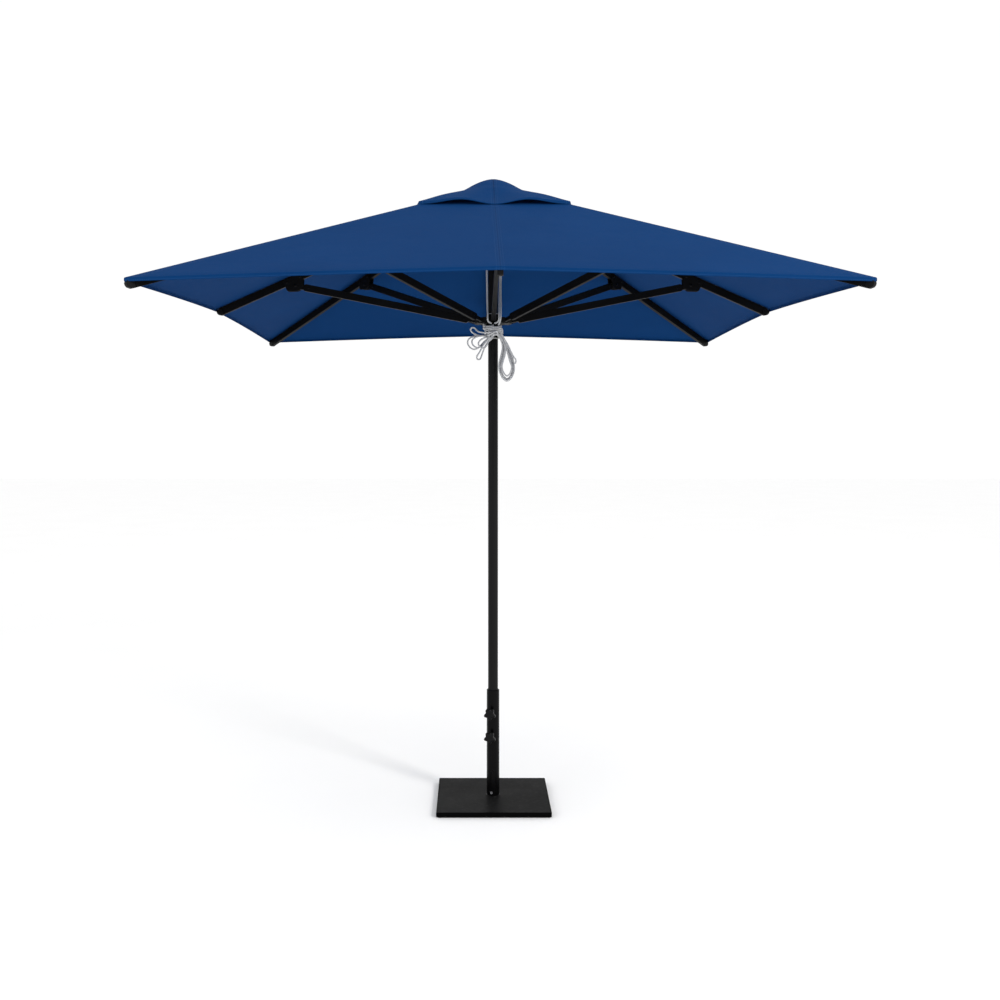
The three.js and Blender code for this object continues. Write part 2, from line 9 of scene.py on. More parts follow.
import bpy
import numpy as np
from mathutils import Matrix, Vector
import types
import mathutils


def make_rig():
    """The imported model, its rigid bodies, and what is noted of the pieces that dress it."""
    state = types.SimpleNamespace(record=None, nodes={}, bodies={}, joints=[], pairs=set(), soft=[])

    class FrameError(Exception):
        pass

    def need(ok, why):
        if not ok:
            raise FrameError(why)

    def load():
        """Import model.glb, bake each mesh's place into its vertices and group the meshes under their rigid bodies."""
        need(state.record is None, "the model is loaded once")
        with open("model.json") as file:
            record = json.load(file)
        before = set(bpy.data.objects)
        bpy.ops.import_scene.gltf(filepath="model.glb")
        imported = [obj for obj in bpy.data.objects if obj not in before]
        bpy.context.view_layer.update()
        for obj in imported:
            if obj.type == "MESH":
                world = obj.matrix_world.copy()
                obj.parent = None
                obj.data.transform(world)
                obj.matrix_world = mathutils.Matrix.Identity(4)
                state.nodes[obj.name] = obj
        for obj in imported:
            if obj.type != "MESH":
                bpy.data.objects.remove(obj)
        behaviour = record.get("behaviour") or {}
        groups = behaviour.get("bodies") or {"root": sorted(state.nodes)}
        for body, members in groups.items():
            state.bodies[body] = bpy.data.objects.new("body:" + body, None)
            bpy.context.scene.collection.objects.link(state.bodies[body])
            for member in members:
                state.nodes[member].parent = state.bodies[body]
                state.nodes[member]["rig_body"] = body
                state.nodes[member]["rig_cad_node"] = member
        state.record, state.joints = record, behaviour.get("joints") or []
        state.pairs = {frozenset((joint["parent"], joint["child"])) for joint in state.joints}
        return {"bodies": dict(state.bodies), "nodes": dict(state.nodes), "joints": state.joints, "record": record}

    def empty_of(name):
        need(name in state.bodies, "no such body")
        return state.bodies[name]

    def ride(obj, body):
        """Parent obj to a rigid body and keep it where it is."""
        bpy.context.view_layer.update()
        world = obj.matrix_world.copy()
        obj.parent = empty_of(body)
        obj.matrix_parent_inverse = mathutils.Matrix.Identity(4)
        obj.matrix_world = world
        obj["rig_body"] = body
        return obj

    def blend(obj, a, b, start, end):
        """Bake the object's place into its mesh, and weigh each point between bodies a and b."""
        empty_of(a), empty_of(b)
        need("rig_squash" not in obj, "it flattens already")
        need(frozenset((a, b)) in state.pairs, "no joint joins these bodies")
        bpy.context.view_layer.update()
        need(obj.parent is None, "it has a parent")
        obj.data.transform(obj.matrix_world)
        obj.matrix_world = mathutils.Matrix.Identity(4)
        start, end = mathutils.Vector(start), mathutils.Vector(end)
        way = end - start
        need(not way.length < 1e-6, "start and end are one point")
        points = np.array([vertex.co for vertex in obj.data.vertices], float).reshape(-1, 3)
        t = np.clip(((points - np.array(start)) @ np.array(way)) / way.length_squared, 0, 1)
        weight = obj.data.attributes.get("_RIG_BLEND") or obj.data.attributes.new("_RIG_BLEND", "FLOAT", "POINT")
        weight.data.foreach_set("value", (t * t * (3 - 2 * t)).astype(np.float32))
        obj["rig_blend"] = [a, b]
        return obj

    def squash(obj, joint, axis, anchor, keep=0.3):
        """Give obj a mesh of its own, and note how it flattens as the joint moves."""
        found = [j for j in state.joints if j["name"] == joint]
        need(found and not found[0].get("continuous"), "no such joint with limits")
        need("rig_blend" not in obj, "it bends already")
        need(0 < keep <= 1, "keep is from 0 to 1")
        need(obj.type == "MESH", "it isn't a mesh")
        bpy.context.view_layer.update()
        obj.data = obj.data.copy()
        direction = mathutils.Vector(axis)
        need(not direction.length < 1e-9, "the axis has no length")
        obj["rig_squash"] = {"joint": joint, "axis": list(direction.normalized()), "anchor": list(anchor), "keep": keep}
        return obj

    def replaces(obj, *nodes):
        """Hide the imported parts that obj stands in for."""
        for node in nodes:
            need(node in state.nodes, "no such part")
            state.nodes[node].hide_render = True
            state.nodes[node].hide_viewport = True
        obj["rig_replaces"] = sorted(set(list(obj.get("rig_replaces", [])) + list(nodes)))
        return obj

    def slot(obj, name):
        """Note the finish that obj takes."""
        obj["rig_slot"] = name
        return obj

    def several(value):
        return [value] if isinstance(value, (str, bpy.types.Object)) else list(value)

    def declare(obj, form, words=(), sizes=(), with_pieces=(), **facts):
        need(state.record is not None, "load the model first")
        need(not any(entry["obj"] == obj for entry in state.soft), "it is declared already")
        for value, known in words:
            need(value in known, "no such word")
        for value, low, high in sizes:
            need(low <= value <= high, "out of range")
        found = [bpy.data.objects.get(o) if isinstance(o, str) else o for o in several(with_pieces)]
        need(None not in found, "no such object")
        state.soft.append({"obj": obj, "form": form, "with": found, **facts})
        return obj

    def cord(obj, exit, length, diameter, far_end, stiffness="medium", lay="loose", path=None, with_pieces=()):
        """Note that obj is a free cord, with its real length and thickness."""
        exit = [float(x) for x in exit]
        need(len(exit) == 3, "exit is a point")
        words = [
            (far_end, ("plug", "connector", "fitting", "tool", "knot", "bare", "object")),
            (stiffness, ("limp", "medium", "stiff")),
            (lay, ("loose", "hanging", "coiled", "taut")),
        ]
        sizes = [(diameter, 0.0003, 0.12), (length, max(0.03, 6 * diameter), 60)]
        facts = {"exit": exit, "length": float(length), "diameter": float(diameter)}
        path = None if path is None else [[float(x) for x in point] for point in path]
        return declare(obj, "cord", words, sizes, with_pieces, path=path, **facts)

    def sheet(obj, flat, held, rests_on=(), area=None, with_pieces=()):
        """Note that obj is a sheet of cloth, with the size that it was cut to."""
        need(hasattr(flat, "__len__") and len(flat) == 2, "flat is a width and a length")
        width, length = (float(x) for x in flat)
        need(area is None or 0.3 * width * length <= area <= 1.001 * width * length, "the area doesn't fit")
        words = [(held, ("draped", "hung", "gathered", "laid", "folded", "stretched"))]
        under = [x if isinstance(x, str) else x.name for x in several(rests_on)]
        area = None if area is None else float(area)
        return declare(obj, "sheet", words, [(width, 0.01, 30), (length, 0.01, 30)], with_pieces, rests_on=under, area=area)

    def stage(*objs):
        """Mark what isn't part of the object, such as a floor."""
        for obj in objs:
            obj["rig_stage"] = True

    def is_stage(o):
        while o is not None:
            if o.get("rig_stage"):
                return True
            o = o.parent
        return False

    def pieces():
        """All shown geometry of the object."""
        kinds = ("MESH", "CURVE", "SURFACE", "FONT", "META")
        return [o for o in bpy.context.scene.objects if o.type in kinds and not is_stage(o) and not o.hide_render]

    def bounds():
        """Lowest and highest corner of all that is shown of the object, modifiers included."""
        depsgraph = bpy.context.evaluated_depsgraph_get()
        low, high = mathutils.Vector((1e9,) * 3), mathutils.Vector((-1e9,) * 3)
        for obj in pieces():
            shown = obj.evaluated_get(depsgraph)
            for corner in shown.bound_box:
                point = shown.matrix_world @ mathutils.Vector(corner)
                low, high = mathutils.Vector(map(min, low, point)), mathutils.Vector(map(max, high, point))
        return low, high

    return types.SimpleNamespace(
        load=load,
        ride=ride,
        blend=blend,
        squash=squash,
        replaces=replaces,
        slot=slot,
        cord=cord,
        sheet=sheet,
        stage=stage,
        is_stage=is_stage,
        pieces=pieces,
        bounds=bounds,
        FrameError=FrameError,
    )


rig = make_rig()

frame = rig.load()
NODES = frame["nodes"]
size_of_cad = [list(corner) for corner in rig.bounds()]

# ---------------------------------------------------------------- dimensions
WAYS = ("right", "back_right", "back", "back_left", "left", "front_left", "front", "front_right")
PLATE = (0.500, 0.450, 0.020)
MAT_HIGH = 0.004
PLATE_TOP = MAT_HIGH + PLATE[2]
SLEEVE_R, SLEEVE_WALL, SLEEVE_TOP = 0.0285, 0.003, 0.500
# the way that the knobs and screws face, and the clamps' heights
SIDE_AIM = math.radians(-105)
CLAMPS = {"upper": 0.402, "lower": 0.297}
POLE_R, POLE_WALL, POLE_FOOT, POLE_TOP = 0.0225, 0.002, 0.1546, 2.742
# the ribs' pivots in the hub and the struts' pivots in the runner: radius, height
HUB_PIVOT = (0.052, 2.734)
RUNNER_PIVOT = (0.078, 2.166)
# the canopy: half of a side, and its heights at the apex, mid side and corner
HALF_SIDE, APEX, RIM_MID, RIM_CORNER = 1.250, 2.779, 2.222, 2.184
# share of each gore's length that is open round the apex
OPENING = 0.12
RIB = {"wide": 0.020, "deep": 0.034, "start": 0.026, "cap": 0.034, "eye": 0.008}
RIB_DROP = {"mid": 0.022, "corner": 0.025}
# brackets: distance along the rib, and the pin's distance below the rib's axis
BRACKET_AT = {"mid": 0.9339, "corner": 0.9043}
PIN_DROP = 0.030
# deep and wide are the bar's, and outer and inner are the radii of its two eyes
STRUT = {
    "wide": 0.018, "deep": 0.032,
    "outer": 0.012, "outer_long": 0.040, "inner": 0.008, "inner_long": 0.034,
}
# the vent cap: the dome over the crown, and the flaps' reach and the arch of their hem
DOME_R, DOME_Z, DOME_TOP, DOME_POWER = 0.128, 2.754, 2.807, 1.6
VENT_MID, VENT_CORNER, VENT_ARCH = 0.366, 0.451, 0.020
ROPE_R, ROPE_X = 0.0035, 0.030


# ---------------------------------------------------------------- material helpers
class Shader:
    """A procedural material, built one node at a time round its Principled shader."""

    def __init__(self, name):
        self.material = bpy.data.materials.new(name)
        self.material.use_nodes = True
        self.tree = self.material.node_tree
        self.bsdf = next(n for n in self.tree.nodes if n.type == "BSDF_PRINCIPLED")
        self.output = next(n for n in self.tree.nodes if n.type == "OUTPUT_MATERIAL")
        self.where = self.tree.nodes.new("ShaderNodeTexCoord").outputs["Object"]

    def put(self, socket, value):
        """Links the socket to another one, or gives it a plain value."""
        if isinstance(value, bpy.types.NodeSocket):
            self.tree.links.new(value, socket)
        else:
            socket.default_value = value

    def set(self, **values):
        for name, value in values.items():
            self.put(self.bsdf.inputs[name.replace("_", " ")], value)

    def math(self, kind, *inputs):
        node = self.tree.nodes.new("ShaderNodeMath")
        node.operation = kind
        for socket, value in zip(node.inputs, inputs):
            self.put(socket, value)
        return node.outputs[0]

    def noise(self, scale, detail=3.0, rough=0.55, at=None):
        node = self.tree.nodes.new("ShaderNodeTexNoise")
        self.put(node.inputs["Vector"], at or self.where)
        node.inputs["Scale"].default_value = scale
        node.inputs["Detail"].default_value = detail
        node.inputs["Roughness"].default_value = rough
        return node.outputs[0]

    def span(self, value, a, b, c=0.0, d=1.0):
        """The value's range a to b turned into c to d, and held at both ends."""
        node = self.tree.nodes.new("ShaderNodeMapRange")
        self.put(node.inputs["Value"], value)
        for name, number in (("From Min", a), ("From Max", b), ("To Min", c), ("To Max", d)):
            node.inputs[name].default_value = number
        return node.outputs["Result"]

    def mix(self, factor, a, b):
        node = self.tree.nodes.new("ShaderNodeMix")
        node.data_type = "RGBA"
        self.put(node.inputs["Factor"], factor)
        for socket, value in zip([s for s in node.inputs if s.type == "RGBA"], (a, b)):
            self.put(socket, (*value, 1) if isinstance(value, tuple) else value)
        return next(s for s in node.outputs if s.type == "RGBA")

    def stretched(self, scale):
        node = self.tree.nodes.new("ShaderNodeMapping")
        self.put(node.inputs["Vector"], self.where)
        node.inputs["Scale"].default_value = scale
        return node.outputs["Vector"]

    def bump(self, height, distance, strength, under=None):
        node = self.tree.nodes.new("ShaderNodeBump")
        self.put(node.inputs["Height"], height)
        node.inputs["Distance"].default_value = distance
        node.inputs["Strength"].default_value = strength
        if under is not None:
            self.put(node.inputs["Normal"], under)
        return node.outputs["Normal"]

    def attribute(self, name):
        node = self.tree.nodes.new("ShaderNodeAttribute")
        node.attribute_name = name
        return node.outputs["Vector"]

    def parts(self, vector):
        node = self.tree.nodes.new("ShaderNodeSeparateXYZ")
        self.put(node.inputs[0], vector)
        return node.outputs


BRUSH = (60, 60, 600)
DUST_COLOR = (0.05, 0.049, 0.048)
# the colour of the painted shade along a coat's edges, and the width over which it fades in
EDGE_SHADE_COLOR = (0.0008, 0.0008, 0.0008)
EDGE_SHADE_FADE = 0.0015
YARN_PITCH = 0.0011
STITCH = {"pitch": 0.007, "half_wide": 0.0011, "share": 0.62}
# rows of stitches: distances from the seam and from the hem
SEAM_ROWS, HEM_ROWS = (0.004, 0.013), (0.021, 0.004)
CLOTH_SHEER = 0.22
# the length and the number of strands of the rope's braid
BRAID_PITCH, BRAID_STRANDS = 0.0085, 4


def shades(color, darker, lighter):
    """Two shades of the colour, to mix between."""
    return tuple(darker * c for c in color), tuple(lighter * c for c in color)


def coated(
    name, color, rough, shine,
    grain=900.0, peel=0.00006, dust=0.0, stretch=(1, 1, 1), rim=None,
):
    """Powder coat, paint or moulded plastic: an even colour with handling marks and a fine texture.

    The grain and the peel are the texture's scale and height. The dust is its share in the specks.
    Past the half sizes of the rim, along X and Y, the coat is an even darker colour: painted shade along the edges.
    """
    s = Shader(name)
    cloudy = s.noise(7.0, 5.0, at=s.stretched(stretch))
    fine = s.noise(grain, 2.0)
    tone = s.mix(s.span(cloudy, 0.35, 0.7), *shades(color, 0.85, 1.2))
    if dust:
        speck = s.math("MULTIPLY", s.span(s.noise(60.0, 6.0, 0.7), 0.5, 0.75), dust)
        tone = s.mix(speck, tone, DUST_COLOR)
    # painted shade along the edges, past the rim's half sizes
    if rim:
        x, y, _ = s.parts(s.where)
        over = [s.math("SUBTRACT", s.math("ABSOLUTE", way), half) for way, half in zip((x, y), rim)]
        tone = s.mix(s.span(s.math("MAXIMUM", *over), -EDGE_SHADE_FADE, EDGE_SHADE_FADE), tone, EDGE_SHADE_COLOR)
    s.set(Base_Color=tone, Specular_IOR_Level=shine)
    marks = s.span(cloudy, 0.3, 0.75, -0.05, 0.07)
    wear = s.math("ADD", marks, s.span(fine, 0.3, 0.7, -0.03, 0.03))
    s.set(Roughness=s.math("ADD", wear, rough))
    s.set(Normal=s.bump(fine, peel, 0.6))
    return s.material


def bare_metal(name, color, rough):
    """Metal with fine brush lines."""
    s = Shader(name)
    lines = s.noise(1.0, 3.0, at=s.stretched(BRUSH))
    tone = s.mix(s.span(s.noise(40.0), 0.3, 0.7), *shades(color, 0.75, 1.0))
    s.set(Base_Color=tone, Metallic=1.0)
    s.set(Roughness=s.span(lines, 0.2, 0.8, rough - 0.08, rough + 0.12))
    s.set(Normal=s.bump(lines, 0.00004, 0.4))
    return s.material


def dashes(s, across, row, along):
    """One where a row of stitches runs: dashes along a line at a distance of row."""
    near = s.math("COMPARE", across, row, STITCH["half_wide"])
    place = s.math("FRACT", s.math("DIVIDE", along, STITCH["pitch"]))
    return s.math("MULTIPLY", near, s.math("LESS_THAN", place, STITCH["share"]))


def woven():
    """Solution-dyed cloth.

    The attribute cloth holds the distances from the rib's seam, from the hem and from the apex.
    """
    s = Shader("cloth_blue")
    side, hem, along = s.parts(s.attribute("cloth"))
    off = s.math("ABSOLUTE", side)
    weft = s.math("SINE", s.math("MULTIPLY", side, 2 * math.pi / YARN_PITCH))
    warp = s.math("SINE", s.math("MULTIPLY", along, 2 * math.pi / YARN_PITCH))
    weave = s.math("MULTIPLY", weft, warp)
    broad = s.noise(2.2, 4.0)
    fade = s.mix(s.span(broad, 0.3, 0.7), (0.0012, 0.0325, 0.1275), (0.0018, 0.0382, 0.1455))
    slub = s.noise(420.0, 2.0)
    color = s.mix(s.span(slub, 0.3, 0.7, 0.0, 0.35), fade, (0.0036, 0.0475, 0.1725))
    rows = [dashes(s, off, row, along) for row in SEAM_ROWS]
    rows += [dashes(s, hem, row, side) for row in HEM_ROWS]
    thread = rows[0]
    for row in rows[1:]:
        thread = s.math("MAXIMUM", thread, row)
    color = s.mix(thread, color, (0.014, 0.066, 0.21))
    # the doubled cloth of the seam and of the hem
    band = s.math("MAXIMUM", s.span(off, 0.015, 0.017, 1, 0), s.span(hem, 0.024, 0.026, 1, 0))
    color = s.mix(s.math("MULTIPLY", band, 0.10), color, (0.004, 0.022, 0.085))
    # painted shade in the seam's narrow furrow, darkest on the dome
    painted_seam_shade = s.span(off, 0.0012, 0.0050, 1, 0)
    seam_shade_weight = s.math("MULTIPLY", painted_seam_shade, s.span(along, 0.12, 0.40, 0.55, 0.20))
    color = s.mix(seam_shade_weight, color, (0.0016, 0.0110, 0.0450))
    pucker = s.math("MULTIPLY", s.noise(95.0, 2.0), s.span(hem, 0.03, 0.06, 1, 0.1))
    height = s.math("ADD", s.math("MULTIPLY", band, 0.4), s.math("MULTIPLY", pucker, 0.7))
    height = s.math("SUBTRACT", height, s.math("MULTIPLY", thread, 0.4))
    crease = s.bump(s.noise(1.0, 3.0, at=s.stretched((5, 5, 9))), 0.010, 0.35)
    normal = s.bump(weave, 0.00012, 0.5, under=s.bump(height, 0.0010, 0.8, under=crease))
    s.set(Base_Color=color, Roughness=0.85, Normal=normal)
    s.set(Sheen_Weight=0.04, Sheen_Roughness=0.5, Specular_IOR_Level=0.05)
    s.bsdf.inputs["Sheen Tint"].default_value = (0.12, 0.32, 0.9, 1)
    through = s.tree.nodes.new("ShaderNodeBsdfTranslucent")
    through.inputs["Color"].default_value = (0.008, 0.045, 0.190, 1)
    s.put(through.inputs["Normal"], normal)
    both = s.tree.nodes.new("ShaderNodeMixShader")
    both.inputs[0].default_value = CLOTH_SHEER
    s.put(both.inputs[1], s.bsdf.outputs[0])
    s.put(both.inputs[2], through.outputs[0])
    s.put(s.output.inputs["Surface"], both.outputs[0])
    return s.material


def braided():
    """Braided cord. The attribute lay holds the length along it and the turn round it."""
    s = Shader("cord_grey")
    along, turn, _ = s.parts(s.attribute("lay"))
    climb = s.math("MULTIPLY", along, 2 * math.pi / BRAID_PITCH)
    about = s.math("MULTIPLY", turn, 2 * math.pi * BRAID_STRANDS)
    one = s.math("SINE", s.math("ADD", climb, about))
    other = s.math("SINE", s.math("SUBTRACT", climb, about))
    strand = s.math("MAXIMUM", one, other)
    fuzz = s.noise(1400.0, 3.0)
    # the grey of the braid, with painted shade in the valleys between the strands and a painted highlight on their
    # crowns
    color = s.mix(s.span(strand, 0.1, 0.95), (0.26, 0.26, 0.265), (0.70, 0.71, 0.73))
    color = s.mix(s.span(fuzz, 0.35, 0.7, 0, 0.5), color, (0.80, 0.81, 0.83))
    height = s.math("ADD", strand, s.math("MULTIPLY", fuzz, 0.5))
    s.set(Base_Color=color, Roughness=0.72, Sheen_Weight=0.3)
    s.set(Normal=s.bump(height, 0.0006, 0.8))
    return s.material


# the plate's edge, from where its coat is darker with painted shade
PLATE_EDGE = 0.0075
plate_coat = coated(
    "plate_coat", (0.0060, 0.0060, 0.0062), 0.50, 0.030,
    dust=0.22, rim=(PLATE[0] / 2 - PLATE_EDGE, PLATE[1] / 2 - PLATE_EDGE),
)
stem_coat = coated("stem_coat", (0.0018, 0.0018, 0.0020), 0.24, 0.075, stretch=(1, 1, 0.3))
pole_coat = coated("pole_coat", (0.0040, 0.0040, 0.0043), 0.38, 0.12, stretch=(1, 1, 0.25))
frame_coat = coated("frame_coat", (0.0036, 0.0036, 0.0040), 0.46, 0.05)
moulded = coated("moulded_black", (0.0035, 0.0035, 0.0038), 0.50, 0.07, grain=1500.0, peel=0.00004)
knob_black = coated("knob_black", (0.0030, 0.0030, 0.0033), 0.34, 0.12, grain=1800.0, peel=0.00003)
rubber = coated("mat_rubber", (0.0040, 0.0040, 0.0040), 0.85, 0.02, grain=500.0, peel=0.0002)
bush_white = coated("bush_white", (0.55, 0.55, 0.53), 0.45, 0.4, grain=1500.0, peel=0.00003)
zinc = bare_metal("zinc_steel", (0.55, 0.56, 0.58), 0.32)
black_bolt = bare_metal("blacked_steel", (0.012, 0.012, 0.013), 0.38)
brass = bare_metal("sheave_brass", (0.62, 0.46, 0.20), 0.30)
cloth = woven()
cord_grey = braided()


# ---------------------------------------------------------------- mesh helpers
def mesh_piece(name, points, faces, material, body, slot=None, smooth=35.0, matrix=None):
    """A new object that rides on the body, with its edges sharp past smooth degrees."""
    mesh = bpy.data.meshes.new(name)
    mesh.from_pydata([tuple(p) for p in points], [], [tuple(f) for f in faces])
    if matrix is not None:
        mesh.transform(matrix)
    mesh.validate()
    mesh.materials.append(material)
    mesh.shade_smooth()
    mesh.set_sharp_from_angle(angle=math.radians(smooth))
    piece = bpy.data.objects.new(name, mesh)
    bpy.context.scene.collection.objects.link(piece)
    if body:
        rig.ride(piece, body)
    if slot:
        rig.slot(piece, slot)
    return piece


def soften(piece, width, segments):
    """Rounds the piece's sharp edges."""
    bevel = piece.modifiers.new("edges", "BEVEL")
    bevel.width = width
    bevel.segments = segments
    bevel.limit_method = "ANGLE"
    bevel.angle_limit = math.radians(32)
    bevel.harden_normals = True
    return piece


def lathe(profile, sides):
    """Points and faces of a closed profile of (radius, height) turned round Z."""
    points, faces = [], []
    rows = len(profile)
    for i in range(sides):
        a = 2 * math.pi * i / sides
        points += [(r * math.cos(a), r * math.sin(a), z) for r, z in profile]
    for i in range(sides):
        j = (i + 1) % sides
        for k in range(rows):
            n = (k + 1) % rows
            faces.append((i * rows + k, j * rows + k, j * rows + n, i * rows + n))
    return points, faces


def prism(outline, y0, y1):
    """Points and faces of an outline in the plane of X and Z, from y0 to y1."""
    count = len(outline)
    points = [(x, y0, z) for x, z in outline] + [(x, y1, z) for x, z in outline]
    faces = [tuple(range(count)), tuple(range(2 * count - 1, count - 1, -1))]
    faces += [(i, i + count, (i + 1) % count + count, (i + 1) % count) for i in range(count)]
    area = sum(
        outline[i][0] * outline[(i + 1) % count][1] - outline[(i + 1) % count][0] * outline[i][1]
        for i in range(count)
    )
    return points, [f if area > 0 else f[::-1] for f in faces]


def ring_faces(rows, sides):
    """Quads between rings of points that follow one another."""
    faces = []
    for low in range(0, (rows - 1) * sides, sides):
        for k in range(sides):
            n = (k + 1) % sides
            faces.append((low + k, low + n, low + sides + n, low + sides + k))
    return faces


def joined(*shapes):
    """Shapes, each of points and faces, as one."""
    points, faces = [], []
    for some, quads in shapes:
        start = len(points)
        points += list(some)
        faces += [tuple(i + start for i in f) for f in quads]
    return points, faces


def moved(shape, matrix):
    points, faces = shape
    return [matrix @ Vector(p) for p in points], faces


def rounded(outline, radius, steps=4):
    """The outline with each corner rounded, by no more than its shorter side allows."""
    made = []
    for i, here in enumerate(outline):
        here = Vector(here)
        before = Vector(outline[i - 1]) - here
        after = Vector(outline[(i + 1) % len(outline)]) - here
        cut = min(radius, before.length * 0.45, after.length * 0.45)
        a, b = here + before.normalized() * cut, here + after.normalized() * cut
        for k in range(steps + 1):
            t = k / steps
            made.append(tuple((1 - t) ** 2 * a + 2 * t * (1 - t) * here + t * t * b))
    return made


def spline(points, spacing):
    """Points every spacing along a centripetal Catmull-Rom curve through the given ones."""
    p = [Vector(q) for q in points]
    p = [2 * p[0] - p[1], *p, 2 * p[-1] - p[-2]]
    line = []
    for a, b, c, d in zip(p, p[1:], p[2:], p[3:]):
        t0, t1 = 0.0, math.sqrt((b - a).length)
        t2 = t1 + math.sqrt((c - b).length)
        t3 = t2 + math.sqrt((d - c).length)
        steps = max(2, round((c - b).length / spacing))
        for k in range(steps):
            t = t1 + (t2 - t1) * k / steps
            e = a.lerp(b, (t - t0) / (t1 - t0))
            f = b.lerp(c, (t - t1) / (t2 - t1))
            g = c.lerp(d, (t - t2) / (t3 - t2))
            h = e.lerp(f, (t - t0) / (t2 - t0))
            i = f.lerp(g, (t - t1) / (t3 - t1))
            line.append(h.lerp(i, (t - t1) / (t2 - t1)))
    return [*line, p[-2]]


ROPE_STEP = 0.003


def length_of(line):
    return sum((b - a).length for a, b in zip(line, line[1:]))


def rope(name, points, sides=12):
    """A cord's mesh along the points, with the attribute lay, and its centreline."""
    line = spline(points, ROPE_STEP)
    verts, lay = [], []
    forward = (line[1] - line[0]).normalized()
    side = forward.orthogonal().normalized()
    run = 0.0
    for i, here in enumerate(line):
        ahead = (line[min(i + 1, len(line) - 1)] - line[max(i - 1, 0)]).normalized()
        side = (forward.rotation_difference(ahead) @ side).normalized()
        forward = ahead
        other = forward.cross(side)
        run += (here - line[i - 1]).length if i else 0.0
        for k in range(sides):
            a = 2 * math.pi * k / sides
            verts.append(here + ROPE_R * (math.cos(a) * side + math.sin(a) * other))
            lay.append((run, k / sides, 0))
    faces = ring_faces(len(line), sides)
    last = (len(line) - 1) * sides
    faces.append(tuple(range(sides - 1, -1, -1)))
    faces.append(tuple(range(last, last + sides)))
    piece = mesh_piece(name, verts, faces, cord_grey, None, "rope", 80.0)
    values = piece.data.attributes.new("lay", "FLOAT_VECTOR", "POINT")
    values.data.foreach_set("vector", np.array(lay, np.float32).ravel())
    return piece, line


# ---------------------------------------------------------------- camera
eye = bpy.data.cameras.new("camera")
eye.lens = 37.53
eye.sensor_width = 36
eye.shift_x = 0.0276
eye.shift_y = -0.072
camera = bpy.data.objects.new("camera", eye)
camera.location = (-0.0934, -4.72, 1.683)
camera.rotation_euler = (math.pi / 2, 0, 0)
bpy.context.scene.collection.objects.link(camera)
bpy.context.scene.camera = camera

# ---------------------------------------------------------------- rope
# heights of the pulley head's mouths, of the lead block's ends and of the knot's top
HEAD_END, GUIDE_TOP, GUIDE_BOTTOM, KNOT_TOP = 2.700, 2.421, 2.371, 2.144
# where the standing part leaves the lead block
STAND_X, STAND_Y = 0.035, -0.006
SHEAVE_X, SHEAVE_Z, GROOVE = 0.016, 2.768, 0.014
QUARTER = GROOVE * math.sqrt(0.5)


def hang(x, knot_x, drop=0.0):
    """The last points of a run, which comes down beside the front strut and turns in to the knot."""
    return [
        (x, -0.096, 2.190), (0.9 * x, -0.094, 2.157), (knot_x, -0.085, KNOT_TOP + 0.0038 - drop),
    ]


over = [
    (-ROPE_X, 0, HEAD_END), (-ROPE_X, 0, SHEAVE_Z - 0.030), (-ROPE_X, 0, SHEAVE_Z - 0.006),
    (-SHEAVE_X - QUARTER, 0, SHEAVE_Z + QUARTER), (-SHEAVE_X, 0, SHEAVE_Z + GROOVE),
    (0, 0, SHEAVE_Z + GROOVE),
    (SHEAVE_X, 0, SHEAVE_Z + GROOVE), (SHEAVE_X + QUARTER, 0, SHEAVE_Z + QUARTER),
    (ROPE_X, 0, SHEAVE_Z - 0.006), (ROPE_X, 0, SHEAVE_Z - 0.030), (ROPE_X, 0, HEAD_END),
]
runs = {
    "left": [
        (-ROPE_X, 0, HEAD_END - 0.002), (-ROPE_X, -0.001, HEAD_END - 0.040), (-ROPE_X, -0.047, 2.440),
        *hang(-0.026, -0.009),
    ],
    "right": [
        (ROPE_X, 0, HEAD_END - 0.002), (ROPE_X, 0.0005, HEAD_END - 0.040),
        (ROPE_X, 0.004, GUIDE_TOP + 0.040), (ROPE_X, 0.004, GUIDE_TOP + 0.002),
        (ROPE_X, 0.004, GUIDE_BOTTOM - 0.002), (ROPE_X, 0.002, GUIDE_BOTTOM - 0.024),
        *hang(0.024, 0.005),
    ],
    "standing": [
        (STAND_X, STAND_Y, GUIDE_BOTTOM - 0.002), (STAND_X, STAND_Y, GUIDE_BOTTOM - 0.020),
        (STAND_X - 0.001, -0.050, 2.280), *hang(0.033, 0.022, 0.007),
    ],
}
top_rope, top_line = rope("rope_over_pulleys_cord", over)
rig.ride(top_rope, "pole")
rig.replaces(top_rope, "rope_over_pulleys")
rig.cord(top_rope, over[0], length_of(top_line), 2 * ROPE_R, "object", "limp", "taut", path=top_line)
for which, points in runs.items():
    piece, line = rope(f"rope_{which}_cord", points)
    # the right run stays with the pole as far as the lead block
    still_z = GUIDE_BOTTOM - 0.01 if which == "right" else points[0][2]
    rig.blend(piece, "pole", "runner", (0, 0, still_z), (0, 0, 2.157))
    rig.replaces(piece, f"rope_{which}")
    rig.cord(piece, points[0], length_of(line), 2 * ROPE_R, "object", "limp", "taut", path=line)

# the free end: two crossing layers of wraps round the collar and the three parts in front of it
WRAP = {"r": 0.0358, "front": 0.0580, "layer": 0.0074, "pitch": 0.0080, "steps": 16}
